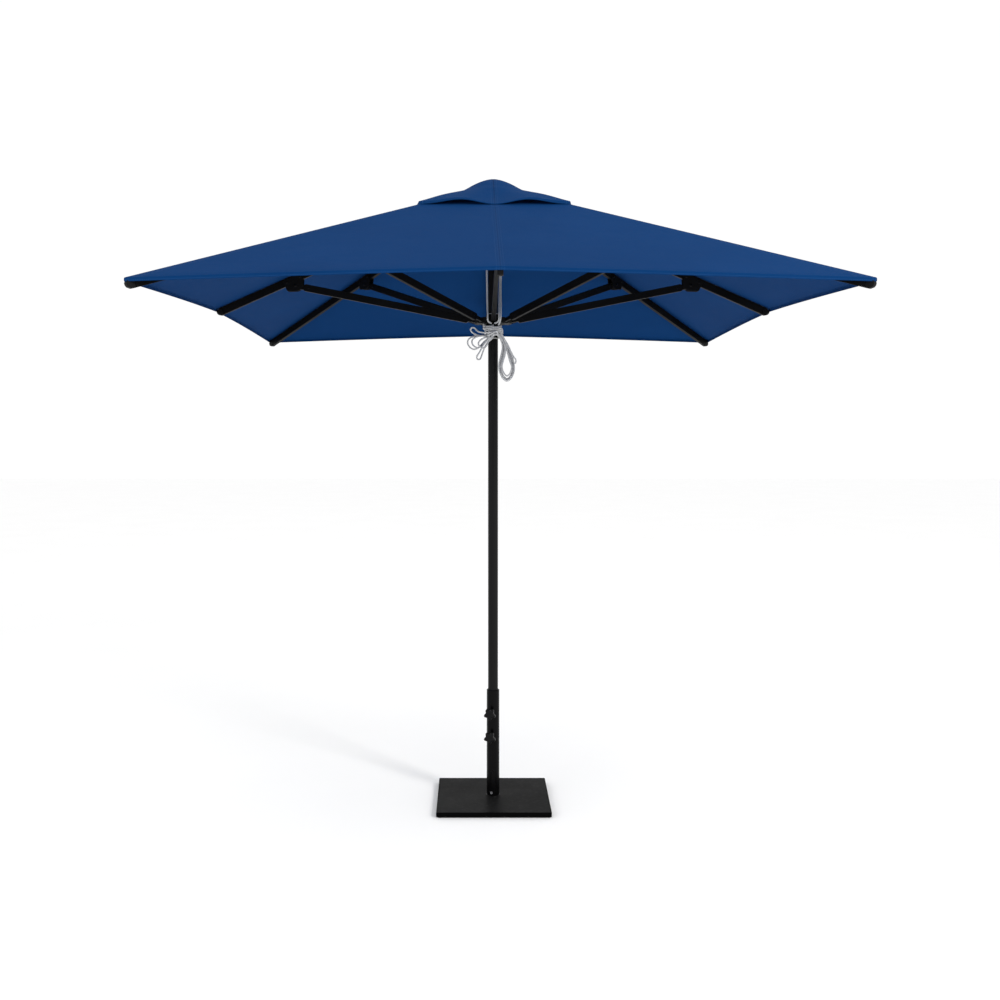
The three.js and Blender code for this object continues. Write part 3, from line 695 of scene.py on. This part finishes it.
# each layer's turns, its tilt, the height that it starts at and its first step
WRAP_LAYERS = ((3.0, 0.011, 2.1385, 0), (2.5, -0.013, 2.1390, 2))
FRONT = math.radians(-90)
tail = []
for layer, (turns, tilt, start_z, first) in enumerate(WRAP_LAYERS):
    for k in range(first, round(turns * WRAP["steps"]) + 1):
        turn = FRONT - 2 * math.pi * k / WRAP["steps"]
        bulge = max(0.0, math.cos(turn - FRONT)) ** 4
        r = WRAP["r"] + WRAP["layer"] * layer + WRAP["front"] * bulge
        z = start_z - WRAP["pitch"] * k / WRAP["steps"] + tilt * math.cos(turn)
        tail.append((r * math.cos(turn), r * math.sin(turn), z))
tail += [
    (0.038, -0.030, 2.1140), (0.030, -0.068, 2.1120), (0.012, -0.099, 2.1100), (-0.010, -0.104, 2.1075),
    # small upper loop of the bow
    (-0.040, -0.094, 2.1060), (-0.068, -0.082, 2.1130), (-0.084, -0.075, 2.1285),
    (-0.0945, -0.072, 2.1305), (-0.1010, -0.069, 2.1225), (-0.0955, -0.066, 2.1110),
    (-0.070, -0.062, 2.0980), (-0.040, -0.060, 2.0970), (-0.012, -0.062, 2.0990),
    # the round turn of the knot
    (0.010, -0.074, 2.0990), (0.019, -0.088, 2.1040), (0.010, -0.104, 2.1120), (-0.006, -0.107, 2.1010),
]

# the bow's loops: one outline of (x, z), made smaller and swung down round the knot for each of them
BOW = [
    (-0.036, 2.0960), (-0.062, 2.0965), (-0.090, 2.0920), (-0.110, 2.0800), (-0.1150, 2.0640),
    (-0.106, 2.0450), (-0.086, 2.0345), (-0.064, 2.0440), (-0.044, 2.0660), (-0.020, 2.0850),
    (0.004, 2.0985),
]
BOW_KNOT = (-0.004, 2.098)
# the turn through the knot after each of them: x, distance in front of the loop, z
BOW_TURN = (
    (0.019, 0.001, 2.1040), (0.024, 0.003, 2.1160), (0.014, 0.006, 2.1270), (-0.004, 0.008, 2.1260),
    (-0.020, 0.009, 2.1130),
)
for y, size, droop in ((-0.056, 1.0, 0.0), (-0.066, 0.84, 0.05), (-0.076, 0.66, 0.34)):
    swing = Matrix.Rotation(droop, 2)
    for x, z in BOW:
        place = swing @ (size * (Vector((x, z)) - Vector(BOW_KNOT))) + Vector(BOW_KNOT)
        tail.append((place.x, y, place.y))
    tail += [(x, y - before, z) for x, before, z in BOW_TURN]
tail += [
    # the lower loop, under the bow
    (-0.020, -0.082, 2.0840), (-0.042, -0.080, 2.0560), (-0.062, -0.077, 2.0200),
    (-0.0740, -0.074, 2.0000), (-0.0700, -0.072, 1.9890), (-0.0595, -0.071, 1.9900),
    (-0.0530, -0.069, 2.0040), (-0.042, -0.068, 2.0350), (-0.024, -0.066, 2.0660),
    (-0.002, -0.062, 2.0880),
]

# the hank: the turn over the knot and one outline of (x, z), which each loop narrows about the middle
OVER = [(0.0030, 2.1160), (0.0080, 2.1280), (0.0200, 2.1290), (0.0290, 2.1170)]
LOOP = [
    (0.0434, 2.0880), (0.0658, 2.0496), (0.0814, 2.0093), (0.0900, 1.9691), (0.0915, 1.9378),
    (0.0814, 1.9066), (0.0613, 1.8931), (0.0412, 1.9066), (0.0278, 1.9378), (0.0269, 1.9691),
    (0.0345, 2.0048), (0.0412, 2.0451), (0.0322, 2.0790), (0.0144, 2.1040),
]
LOOP_TOP, LOOP_LEAN = 2.110, 0.003
# heights on the hank and its middle there
MIDDLE_Z = (1.89, 1.94, 1.97, 2.01, 2.047, 2.08, 2.112)
MIDDLE_X = (0.0610, 0.0597, 0.0585, 0.0580, 0.0535, 0.036, 0.0155)
# the heights between which the loops go over from their open width to their width in the bundle
OPEN_Z = (1.94, 2.00)
# each loop's y, its share of the width where it opens and in the bundle, and its share of the length
HANK = (
    (-0.0505, 0.96, 0.86, 1.0), (-0.0580, 0.80, 0.56, 0.955),
    (-0.0655, 1.04, 1.02, 0.985), (-0.0730, 0.68, 0.22, 0.90),
)
for y, low, high, share in HANK:
    tail += [(x, y + 0.002, z) for x, z in OVER]
    for k, (x, z) in enumerate(LOOP):
        middle = float(np.interp(z, MIDDLE_Z, MIDDLE_X))
        wide = float(np.interp(z, OPEN_Z, (low, high)))
        lean = LOOP_LEAN * k / len(LOOP)
        tail.append((middle + wide * (x - middle), y - lean, LOOP_TOP + share * (z - LOOP_TOP)))
tail += [(x, -0.079, z) for x, z in OVER]
# the bare end
tail += [
    (0.039, -0.082, 2.0960), (0.052, -0.082, 2.0720), (0.074, -0.079, 2.0300), (0.090, -0.076, 2.0000),
    (0.1000, -0.073, 1.9870), (0.0985, -0.070, 1.9730), (0.0910, -0.068, 1.9680),
]
tie, tie_line = rope("rope_tail_cord", tail, sides=10)
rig.ride(tie, "runner")
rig.replaces(tie, "rope_tie")
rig.cord(tie, tail[0], length_of(tie_line), 2 * ROPE_R, "bare", "limp", "hanging", path=tie_line)


# ---------------------------------------------------------------- canopy
def turned(i):
    """From the plane of the first way to that of way i."""
    return Matrix.Rotation(math.radians(45 * i), 4, "Z")


def cloth_height(out, across):
    """The canopy's height at a distance out from the apex and across from the middle of a side."""
    fall = (APEX - RIM_MID) * out + (RIM_MID - RIM_CORNER) * abs(across)
    return APEX - fall / HALF_SIDE


def ends_of(kind):
    """The gore's own rib end, its two seam ends and the apex, in the plane of its own rib."""
    apex = Vector((0, 0, APEX))
    mid = Vector((HALF_SIDE, 0, RIM_MID))
    corner = Vector((HALF_SIDE * math.sqrt(2), 0, RIM_CORNER))
    own, other = (mid, corner) if kind == "mid" else (corner, mid)
    share = (own - apex).length / ((mid - apex).length + (corner - apex).length)
    sides = [own.lerp(Matrix.Rotation(s * math.pi / 4, 3, "Z") @ other, share) for s in (-1, 1)]
    return apex, own, sides


def cloth_piece(name, grid, marks, matrix):
    """A closed skin: the grid of points, the same grid moved inwards, and the edges between them."""
    top = np.array([[tuple(p) for p in row] for row in grid])
    normal = np.cross(np.gradient(top, axis=0), np.gradient(top, axis=1))
    normal /= np.linalg.norm(normal, axis=2, keepdims=True)
    points = np.concatenate([top.reshape(-1, 3), (top + CLOTH * normal).reshape(-1, 3)])
    rows, columns = top.shape[:2]
    under = rows * columns
    cell = np.arange(under).reshape(rows, columns)
    faces = []
    for i in range(rows - 1):
        for j in range(columns - 1):
            a, b, c, d = cell[i, j], cell[i + 1, j], cell[i + 1, j + 1], cell[i, j + 1]
            faces += [(a, b, c, d), (a + under, d + under, c + under, b + under)]
    rim = [*cell[0, :-1], *cell[:-1, -1], *cell[-1, :0:-1], *cell[:0:-1, 0]]
    for a, b in zip(rim, rim[1:] + rim[:1]):
        faces.append((a, b, b + under, a + under))
    faces = [tuple(int(k) for k in f) for f in faces]
    piece = mesh_piece(name, points.tolist(), faces, cloth, None, "canopy", 60.0, matrix)
    values = piece.data.attributes.new("cloth", "FLOAT_VECTOR", "POINT")
    values.data.foreach_set("vector", np.array([marks, marks], np.float32).ravel())
    return piece


def flat_area(piece):
    """The area of one side of the skin."""
    return sum(p.area for p in piece.data.polygons) / 2


CLOTH = 0.0008
# how far the hem draws in, as a share of the gore's length, and the cloth sinks between two ribs
HEM_SCALLOP, SAG = 0.0035, 0.004
ROWS, COLUMNS = 36, 25
# the hem turns down at the rim: steps outwards and down from it
HEM_TURN = ((0.0012, 0.0009), (0.0020, 0.0026), (0.0023, 0.0055), (0.0021, 0.0095), (0.0016, 0.0130))
HEM_DEEP = HEM_TURN[-1][1]
# the share of its width that a gore keeps when it is folded
FOLDED = 0.25
slant = math.hypot(HALF_SIDE, APEX - RIM_MID)


def rim_outward(kind, j):
    """The way out of the rim in plan: square to the side of the canopy that the point lies on."""
    if kind == "mid":
        return Vector((1, 0, 0))
    aim = math.radians(45) * (1 if j > 0 else -1)
    return Vector((math.cos(aim) if j else 1 / math.cos(aim), math.sin(aim) if j else 0, 0))


for i, way in enumerate(WAYS):
    kind = "corner" if i % 2 else "mid"
    apex, own, sides = ends_of(kind)
    grid, marks = [], []
    for a in range(ROWS + len(HEM_TURN)):
        row = []
        for b in range(COLUMNS):
            j = 2 * b / (COLUMNS - 1) - 1
            # 0 on the rib and 1, without slope, on the line halfway to the next rib
            between = math.sin(abs(j) * math.pi / 2)
            rim = own.lerp(sides[j > 0], abs(j))
            far = 1 - HEM_SCALLOP * between
            k = OPENING + (far - OPENING) * min(1, a / (ROWS - 1))
            p = apex.lerp(rim, k)
            p.z -= SAG * between * math.sin(math.pi * k)
            down = 0.0
            if a >= ROWS:
                out, down = HEM_TURN[a - ROWS]
                p += out * rim_outward(kind, j)
                p.z -= down
            row.append(p)
            off = (rim - own).length * k * (1 if j > 0 else -1)
            marks.append((off, (far - k) * slant + HEM_DEEP - down, k * slant + down))
        grid.append(row)
    gore = cloth_piece(f"canopy_cloth_{way}", grid, marks, turned(i))
    width = (sides[1] - sides[0]).length
    reach = (own - apex).length * (1 - OPENING) + HEM_DEEP
    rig.ride(gore, f"rib_{way}")
    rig.replaces(gore, f"canopy_{way}")
    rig.squash(gore, f"rib_hinge_{way}", turned(i) @ Vector((0, 1, 0)), (0, 0, APEX), FOLDED)
    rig.sheet(gore, (width, reach), "stretched", [f"rib_{way}"], flat_area(gore))

# ---------------------------------------------------------------- vent cap
CORNER_SIDE = VENT_CORNER / math.sqrt(2)
# radii: of the hole at the top, where the dome ends and where the flaps begin, and the slope there
VENT_HOLE, DOME_EDGE, VENT_EDGE, FLAP_SLOPE = 0.003, 0.119, 0.165, 0.42
# the flaps sink on the mid ribs and swell on the corner ribs
VENT_SAG, VENT_SWELL = 0.007, 0.004
# the hem's height over the canopy on a mid rib, and what a corner rib adds
VENT_OVER, VENT_OVER_CORNER = 0.0050, 0.0080
# the hem's depth on a mid rib, and what a corner rib adds
VENT_HEM, VENT_HEM_CORNER = 0.0035, 0.0085
VENT_ROWS, VENT_COLUMNS = 32, 17
# share of the rows that lie on the dome
DOME_SHARE = 0.4


def dome_height(r):
    """The dome over the crown, which runs out into the slope of the flaps past the crown's edge."""
    if r <= DOME_EDGE:
        return DOME_TOP - (DOME_TOP - DOME_Z) * (r / DOME_R) ** DOME_POWER
    steep = DOME_POWER * (DOME_TOP - DOME_Z) * DOME_EDGE ** (DOME_POWER - 1) / DOME_R**DOME_POWER
    s = (r - DOME_EDGE) / (VENT_EDGE - DOME_EDGE)
    fall = steep * s - (steep - FLAP_SLOPE) * s * s / 2
    return dome_height(DOME_EDGE) - (VENT_EDGE - DOME_EDGE) * fall


def vent_rows(off):
    """Each row's (radius, height), from the top to the hem, at an angle from the nearest mid rib."""
    out = VENT_MID * CORNER_SIDE / (CORNER_SIDE + (VENT_MID - CORNER_SIDE) * math.tan(off))
    hem_r = math.hypot(out, out * math.tan(off))
    share = off / (math.pi / 4)
    arch = VENT_ARCH * (1 - math.cos(8 * off)) / 2
    hem_z = cloth_height(out, out * math.tan(off)) + VENT_OVER + VENT_OVER_CORNER * share + arch
    line = []
    for a in range(VENT_ROWS):
        t = a / (VENT_ROWS - 1)
        if t < DOME_SHARE:
            r = VENT_HOLE + (VENT_EDGE - VENT_HOLE) * t / DOME_SHARE
            line.append((r, dome_height(r)))
            continue
        s = (t - DOME_SHARE) / (1 - DOME_SHARE)
        top = dome_height(VENT_EDGE)
        wave = math.sin(math.pi * s)
        hollow = VENT_SAG * (1 - share) * wave - VENT_SWELL * share * wave**2
        line.append((VENT_EDGE + (hem_r - VENT_EDGE) * s, top + (hem_z - top) * s - hollow))
    deep = VENT_HEM + VENT_HEM_CORNER * share
    for step, down in ((0.0012, 0.0012), (0.0018, 0.45 * deep), (0.0014, deep)):
        line.append((hem_r + step, hem_z - down))
    return line


_, _, mid_sides = ends_of("mid")
# half of the angle that a gore on a mid rib takes up
MID_REACH = math.atan2(mid_sides[1].y, mid_sides[1].x)
for i, way in enumerate(WAYS):
    kind = "corner" if i % 2 else "mid"
    reach = MID_REACH if kind == "mid" else math.pi / 4 - MID_REACH
    columns, marks = [], []
    for b in range(VENT_COLUMNS):
        turn = (2 * b / (VENT_COLUMNS - 1) - 1) * reach
        columns.append((turn, vent_rows(abs(turn) if kind == "mid" else math.pi / 4 - abs(turn))))
    grid = []
    for a in range(len(columns[0][1])):
        row = []
        for turn, line in columns:
            (r, z), end = line[a], line[-1]
            row.append((r * math.cos(turn), r * math.sin(turn), z))
            marks.append((r * turn, math.hypot(end[0] - r, end[1] - z), r))
        grid.append(row)
    gore = cloth_piece(f"vent_cloth_{way}", grid, marks, turned(i))
    rib_line = vent_rows(0 if kind == "mid" else math.pi / 4)
    long = sum(math.dist(p, q) for p, q in zip(rib_line, rib_line[1:]))
    wide = 2 * (VENT_MID if kind == "mid" else VENT_CORNER) * math.tan(reach)
    # the dome stays on the crown, and the flap goes down with its rib
    still, moving = (turned(i) @ Vector(p) for p in ((0.125, 0, DOME_Z), (0.30, 0, 2.66)))
    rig.blend(gore, "pole", f"rib_{way}", still, moving)
    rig.replaces(gore, "vent_cap")
    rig.sheet(gore, (wide, long), "stretched", [f"rib_{way}"], flat_area(gore))


# ---------------------------------------------------------------- ribs, brackets and struts
BRACKET_BOLTS = (-0.034, 0.030)
BRACKET_INNER, BRACKET_OUTER = 0.0103, 0.0143
# a bracket's cheek: distances along the rib from the bracket's place, and up from the rib's axis
CHEEK = [
    (-0.048, 0.013), (0.044, 0.013), (0.044, -0.039), (-0.002, -0.058), (-0.030, -0.050),
    (-0.048, -0.014),
]
# how far the tip plug stands proud of the tube
TIP_PROUD = 0.0004


def plan_of(kind):
    """A way's rib and strut in the plane of the rib.

    Gives the rib's length, the function from distances along and over it to (radius, height), the
    pin's place, and the strut's length and function.
    """
    r, z = (HALF_SIDE, RIM_MID - RIB_DROP["mid"])
    if kind == "corner":
        r, z = HALF_SIDE * math.sqrt(2), RIM_CORNER - RIB_DROP["corner"]
    slope = math.atan2(HUB_PIVOT[1] - z, r - HUB_PIVOT[0])
    length = math.hypot(HUB_PIVOT[1] - z, r - HUB_PIVOT[0])

    def on_rib(u, w):
        return (
            HUB_PIVOT[0] + u * math.cos(slope) + w * math.sin(slope),
            HUB_PIVOT[1] - u * math.sin(slope) + w * math.cos(slope),
        )

    pin = on_rib(BRACKET_AT[kind], -PIN_DROP)
    rise = math.atan2(pin[1] - RUNNER_PIVOT[1], pin[0] - RUNNER_PIVOT[0])
    strut_length = math.hypot(pin[1] - RUNNER_PIVOT[1], pin[0] - RUNNER_PIVOT[0])

    def on_strut(u, w):
        return (
            RUNNER_PIVOT[0] + u * math.cos(rise) - w * math.sin(rise),
            RUNNER_PIVOT[1] + u * math.sin(rise) + w * math.cos(rise),
        )

    return length, on_rib, pin, strut_length, on_strut


def button(radius, high):
    """A low domed head round Y, standing on y = 0 and facing -Y."""
    profile = [
        (0.0001, 0), (radius, 0), (radius, 0.45 * high), (0.72 * radius, 0.85 * high), (0.0001, high),
    ]
    return moved(lathe(profile, 20), Matrix.Rotation(math.pi / 2, 4, "X"))


def heads(places, half, radius, high):
    """Domed heads on both sides of a member, at places in the plane of its radius."""
    shapes = []
    for x, z in places:
        for side in (1, -1):
            turn = Matrix.Rotation(math.pi, 4, "Z") if side < 0 else Matrix.Identity(4)
            shapes.append(moved(button(radius, high), Matrix.Translation((x, -side * half, z)) @ turn))
    return joined(*shapes)


def arc_points(place, u, r, start, stop):
    """An arc round the point at u, from start to stop in quarter turns."""
    made = []
    for turn in np.linspace(start, stop, 13) * math.pi / 2:
        made.append(place(u + r * math.cos(turn), r * math.sin(turn)))
    return made


for i, way in enumerate(WAYS):
    kind = "corner" if i % 2 else "mid"
    length, on_rib, pin, strut_length, on_strut = plan_of(kind)
    half, deep, end = RIB["wide"] / 2, RIB["deep"] / 2, length - RIB["cap"]
    place = turned(i)
    tube = [(RIB["start"], -deep), (end, -deep), (end, deep), (RIB["start"], deep)]
    tube = [on_rib(u, w) for u, w in tube]
    eye_end = RIB["start"] + 0.001
    eye_plate = [
        *arc_points(on_rib, 0, RIB["eye"], 1, 3),
        on_rib(eye_end, -RIB["eye"]), on_rib(eye_end, RIB["eye"]),
    ]
    rib = mesh_piece(
        f"rib_tube_{way}", *joined(prism(tube, -half, half), prism(eye_plate, -0.004, 0.004)),
        frame_coat, f"rib_{way}", "frame", matrix=place,
    )
    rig.replaces(soften(rib, 0.0022, 3), f"rib_{way}")
    nose = [
        (end + TIP_PROUD, -deep - TIP_PROUD), (end + 0.016, -deep), (end + 0.028, -deep + 0.008),
        (length - 0.003, -0.002), (length - 0.003, 0.006), (end + 0.026, deep - 0.004),
        (end + 0.008, deep), (end + TIP_PROUD, deep),
    ]
    nose = [on_rib(u, w) for u, w in nose]
    tip = mesh_piece(
        f"rib_tip_{way}", *prism(nose, -half - TIP_PROUD, half + TIP_PROUD),
        moulded, f"rib_{way}", "fitting", matrix=place,
    )
    soften(tip, 0.002, 3)

    at = BRACKET_AT[kind]
    cheek = rounded([on_rib(at + u, w) for u, w in CHEEK], 0.007)
    cheeks = joined(
        prism(cheek, BRACKET_INNER, BRACKET_OUTER), prism(cheek, -BRACKET_OUTER, -BRACKET_INNER)
    )
    bracket = mesh_piece(
        f"bracket_cheeks_{way}", *cheeks, moulded, f"rib_{way}", "fitting", matrix=place
    )
    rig.replaces(soften(bracket, 0.0012, 2), f"bracket_{way}")
    bolts = [on_rib(at + u, -0.002) for u in BRACKET_BOLTS]
    bolt_heads = joined(
        heads(bolts, BRACKET_OUTER, 0.0048, 0.0024), heads([pin], BRACKET_OUTER, 0.0065, 0.0032)
    )
    mesh_piece(f"bracket_bolts_{way}", *bolt_heads, black_bolt, f"rib_{way}", matrix=place)

    half, deep = STRUT["wide"] / 2, STRUT["deep"] / 2
    start, stop = STRUT["inner_long"], strut_length - STRUT["outer_long"]
    outline = [
        on_strut(start, -STRUT["inner"]), on_strut(start + 0.006, -deep), on_strut(stop - 0.004, -deep),
        on_strut(stop, -STRUT["outer"]), *arc_points(on_strut, strut_length, STRUT["outer"], -1, 1),
        on_strut(stop, STRUT["outer"]), on_strut(stop - 0.004, deep), on_strut(start + 0.006, deep),
        on_strut(start, STRUT["inner"]), *arc_points(on_strut, 0, STRUT["inner"], 1, 3),
    ]
    trunnion = lathe([(0.0001, -0.015), (0.003, -0.015), (0.003, 0.015), (0.0001, 0.015)], 16)
    seat = Matrix.Translation((RUNNER_PIVOT[0], 0, RUNNER_PIVOT[1]))
    stub = moved(trunnion, seat @ Matrix.Rotation(math.pi / 2, 4, "X"))
    strut = mesh_piece(
        f"strut_bar_{way}", *joined(prism(outline, -half, half), stub),
        frame_coat, f"strut_{way}", "frame", matrix=place,
    )
    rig.replaces(soften(strut, 0.0018, 3), f"strut_{way}")
    rivets = heads([on_strut(start + 0.022, 0), on_strut(stop - 0.020, 0)], half, 0.0036, 0.0016)
    mesh_piece(f"strut_rivets_{way}", *rivets, black_bolt, f"strut_{way}", matrix=place)


# ---------------------------------------------------------------- pole
def ring(r, wall, low_z, high_z, ease):
    """A tube with its edges eased."""
    inner = r - wall
    profile = [
        (inner, low_z), (r - ease, low_z), (r, low_z + ease), (r, high_z - ease), (r - ease, high_z),
        (inner + ease, high_z), (inner, high_z - ease),
    ]
    return lathe(profile, 96)


pole_shape = ring(POLE_R, POLE_WALL, POLE_FOOT, POLE_TOP, 0.0008)
pole = mesh_piece("pole_tube_round", *pole_shape, pole_coat, "pole", "pole")
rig.replaces(pole, "pole_tube")


# ---------------------------------------------------------------- base
def side_frame(z):
    """From the pole's axis at height z, with local Z outwards to the side that the knobs face."""
    level = Matrix.Rotation(SIDE_AIM, 4, "Z") @ Matrix.Rotation(math.pi / 2, 4, "Y")
    return Matrix.Translation((0, 0, z)) @ level


half_x, half_y = PLATE[0] / 2, PLATE[1] / 2
corners = [(-half_x, -half_y), (half_x, -half_y), (half_x, half_y), (-half_x, half_y)]
slab = prism(rounded(corners, 0.006, 6), -PLATE_TOP, -MAT_HIGH)
slab = moved(slab, Matrix.Rotation(-math.pi / 2, 4, "X"))
plate = mesh_piece("plate", *slab, plate_coat, "base", "plate")
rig.replaces(soften(plate, 0.0022, 3), "base_plate")

sleeve_shapes = [ring(SLEEVE_R, SLEEVE_WALL, PLATE_TOP + 0.0003, SLEEVE_TOP, 0.0012)]
# the clamps' bosses: radius, distance from the pole's axis
BOSS = [
    (0.0053, SLEEVE_R - 0.002), (0.0110, SLEEVE_R - 0.004), (0.0110, 0.0392), (0.0098, 0.0405),
    (0.0053, 0.0405),
]
for z in CLAMPS.values():
    sleeve_shapes.append(moved(lathe(BOSS, 40), side_frame(z)))
sleeve = mesh_piece("stem_sleeve_round", *joined(*sleeve_shapes), stem_coat, "base", "stem")
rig.replaces(sleeve, "stem_sleeve")

# the weld round the sleeve's foot, with the ripple that it is laid down in
WELD, WELD_Z = 0.0030, PLATE_TOP + 0.0002
bead = [
    (SLEEVE_R + 0.0001 + WELD * max(0, math.cos(a)), WELD_Z + WELD * math.sin(a))
    for a in (0, 0.4, 0.8, 1.2, math.pi / 2)
] + [(SLEEVE_R - 0.001, WELD_Z + WELD), (SLEEVE_R - 0.001, WELD_Z)]
weld = mesh_piece("stem_weld_bead", *lathe(bead, 96), stem_coat, "base", "stem", 60)
for vertex in weld.data.vertices:
    turn = math.atan2(vertex.co.y, vertex.co.x)
    if vertex.co.xy.length > SLEEVE_R:
        vertex.co.xy *= 1 + 0.012 * math.sin(46 * turn) + 0.008 * math.sin(17 * turn + 1)

# the knobs: the radius of their grip and how far its lobes go in and out, and where their hub starts
KNOB = {"r": 0.023, "lobe": 0.0042, "lobes": 5, "start": SLEEVE_R + 0.016, "sides": 120}
# the round hub and the end of the grip: radius, distance from the hub's start
KNOB_HUB = ((0.0118, 0.0), (0.0120, 0.0008), (0.0120, 0.0070), (0.0150, 0.0080))
KNOB_END = (0.0002, 0.0248)
# the grip: share of the lobed radius, distance from the hub's start
KNOB_GRIP = (
    (0.86, 0.0082), (0.965, 0.0092), (1.0, 0.0115), (1.0, 0.0205), (0.965, 0.0232), (0.87, 0.0248),
    (0.55, 0.0256), (0.30, 0.0250),
)
STUD_R, STUD_ROOT, STUD_START, STUD_END, STUD_TURNS = 0.0050, 0.0045, 0.0263, 0.0470, 14


def knob_shape():
    """Points and faces of a knob round Z, from its hub out to the end of its grip."""
    sides, lobed = KNOB["sides"], []
    for k in range(sides):
        lobed.append(KNOB["r"] + KNOB["lobe"] * math.cos(KNOB["lobes"] * 2 * math.pi * k / sides))
    rows = [(h, [r] * sides) for r, h in KNOB_HUB]
    rows += [(h, [share * r for r in lobed]) for share, h in KNOB_GRIP]
    rows.append((KNOB_END[1], [KNOB_END[0]] * sides))
    points = []
    for h, radii in rows:
        for k, r in enumerate(radii):
            a = 2 * math.pi * k / sides
            points.append((r * math.cos(a), r * math.sin(a), KNOB["start"] + h))
    return points, ring_faces(len(rows), sides)


def stud_shape():
    """Points and faces of a threaded stud round Z."""
    profile = [(0.0001, STUD_START), (0.0043, STUD_START), (STUD_R, STUD_START + 0.0007)]
    for k in range(STUD_TURNS):
        h = STUD_START + 0.0012 + 0.0190 * k / STUD_TURNS
        profile += [(STUD_R, h), (STUD_ROOT, h + 0.0007)]
    profile += [(STUD_R, STUD_END), (0.0001, STUD_END)]
    return lathe(profile, 28)


for which, z in CLAMPS.items():
    body = f"knob_{which}"
    knob = mesh_piece(f"knob_grip_{which}", *knob_shape(), knob_black, body, "knob", 50, side_frame(z))
    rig.replaces(knob, f"clamp_knob_{which}")
    mesh_piece(f"knob_stud_{which}", *stud_shape(), zinc, body, "screw", 60, side_frame(z))

# ---------------------------------------------------------------- CAD nodes shown as they are
SHOWN = {
    "base_mat": rubber, "stem_spigot": stem_coat, "stem_liner": moulded,
    "stem_screw_upper": black_bolt, "stem_screw_lower": zinc,
    "clamp_pad_upper": brass, "clamp_pad_lower": brass, "pole_foot_plug": moulded,
    "top_hub": frame_coat, "hub_ring_wire": zinc, "pulley_head": frame_coat,
    "sheave_left": brass, "sheave_right": brass, "rope_lead_block": moulded,
    "crown_cap": moulded, "runner": moulded, "runner_bush": bush_white,
}
for name, material in SHOWN.items():
    node = NODES[name]
    node.data.materials.clear()
    node.data.materials.append(material)
    node.data.shade_smooth()
    node.data.set_sharp_from_angle(angle=math.radians(32))

# ---------------------------------------------------------------- floor and light
FLOOR = 30
pale = Shader("pale_floor")
cloudy = pale.span(pale.noise(1.3, 3.0), 0.3, 0.7)
pale.set(Base_Color=pale.mix(cloudy, (0.955, 0.955, 0.955), (0.970, 0.970, 0.970)), Roughness=0.9)
corners = [(-FLOOR, -FLOOR, 0), (FLOOR, -FLOOR, 0), (FLOOR, FLOOR, 0), (-FLOOR, FLOOR, 0)]
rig.stage(mesh_piece("floor", corners, [(0, 1, 2, 3)], pale.material, None))

world = bpy.data.worlds.new("studio")
world.use_nodes = True
sky = next(n for n in world.node_tree.nodes if n.type == "BACKGROUND")
sky.inputs["Color"].default_value = (1, 1, 1, 1)
sky.inputs["Strength"].default_value = 1.02
bpy.context.scene.world = world
bpy.context.scene.view_settings.view_transform = "Standard"


def area_light(name, place, aim, size, power, color):
    lamp = bpy.data.lights.new(name, "AREA")
    lamp.shape = "RECTANGLE"
    lamp.size, lamp.size_y = size
    lamp.energy = power
    lamp.color = color
    holder = bpy.data.objects.new(name, lamp)
    holder.location = place
    holder.rotation_euler = (Vector(aim) - Vector(place)).to_track_quat("-Z", "Y").to_euler()
    bpy.context.scene.collection.objects.link(holder)


area_light("key", (4.8, -4.8, 4.6), (0, 0, 1.2), (1.2, 2.6), 300, (1.0, 0.98, 0.95))
area_light("fill", (-5.0, -4.5, 3.5), (0, 0, 1.5), (3.0, 2.5), 60, (0.92, 0.96, 1.0))

# ---------------------------------------------------------------- extents
with open("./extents.json", "w") as out:
    json.dump([size_of_cad, [list(corner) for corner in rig.bounds()]], out)
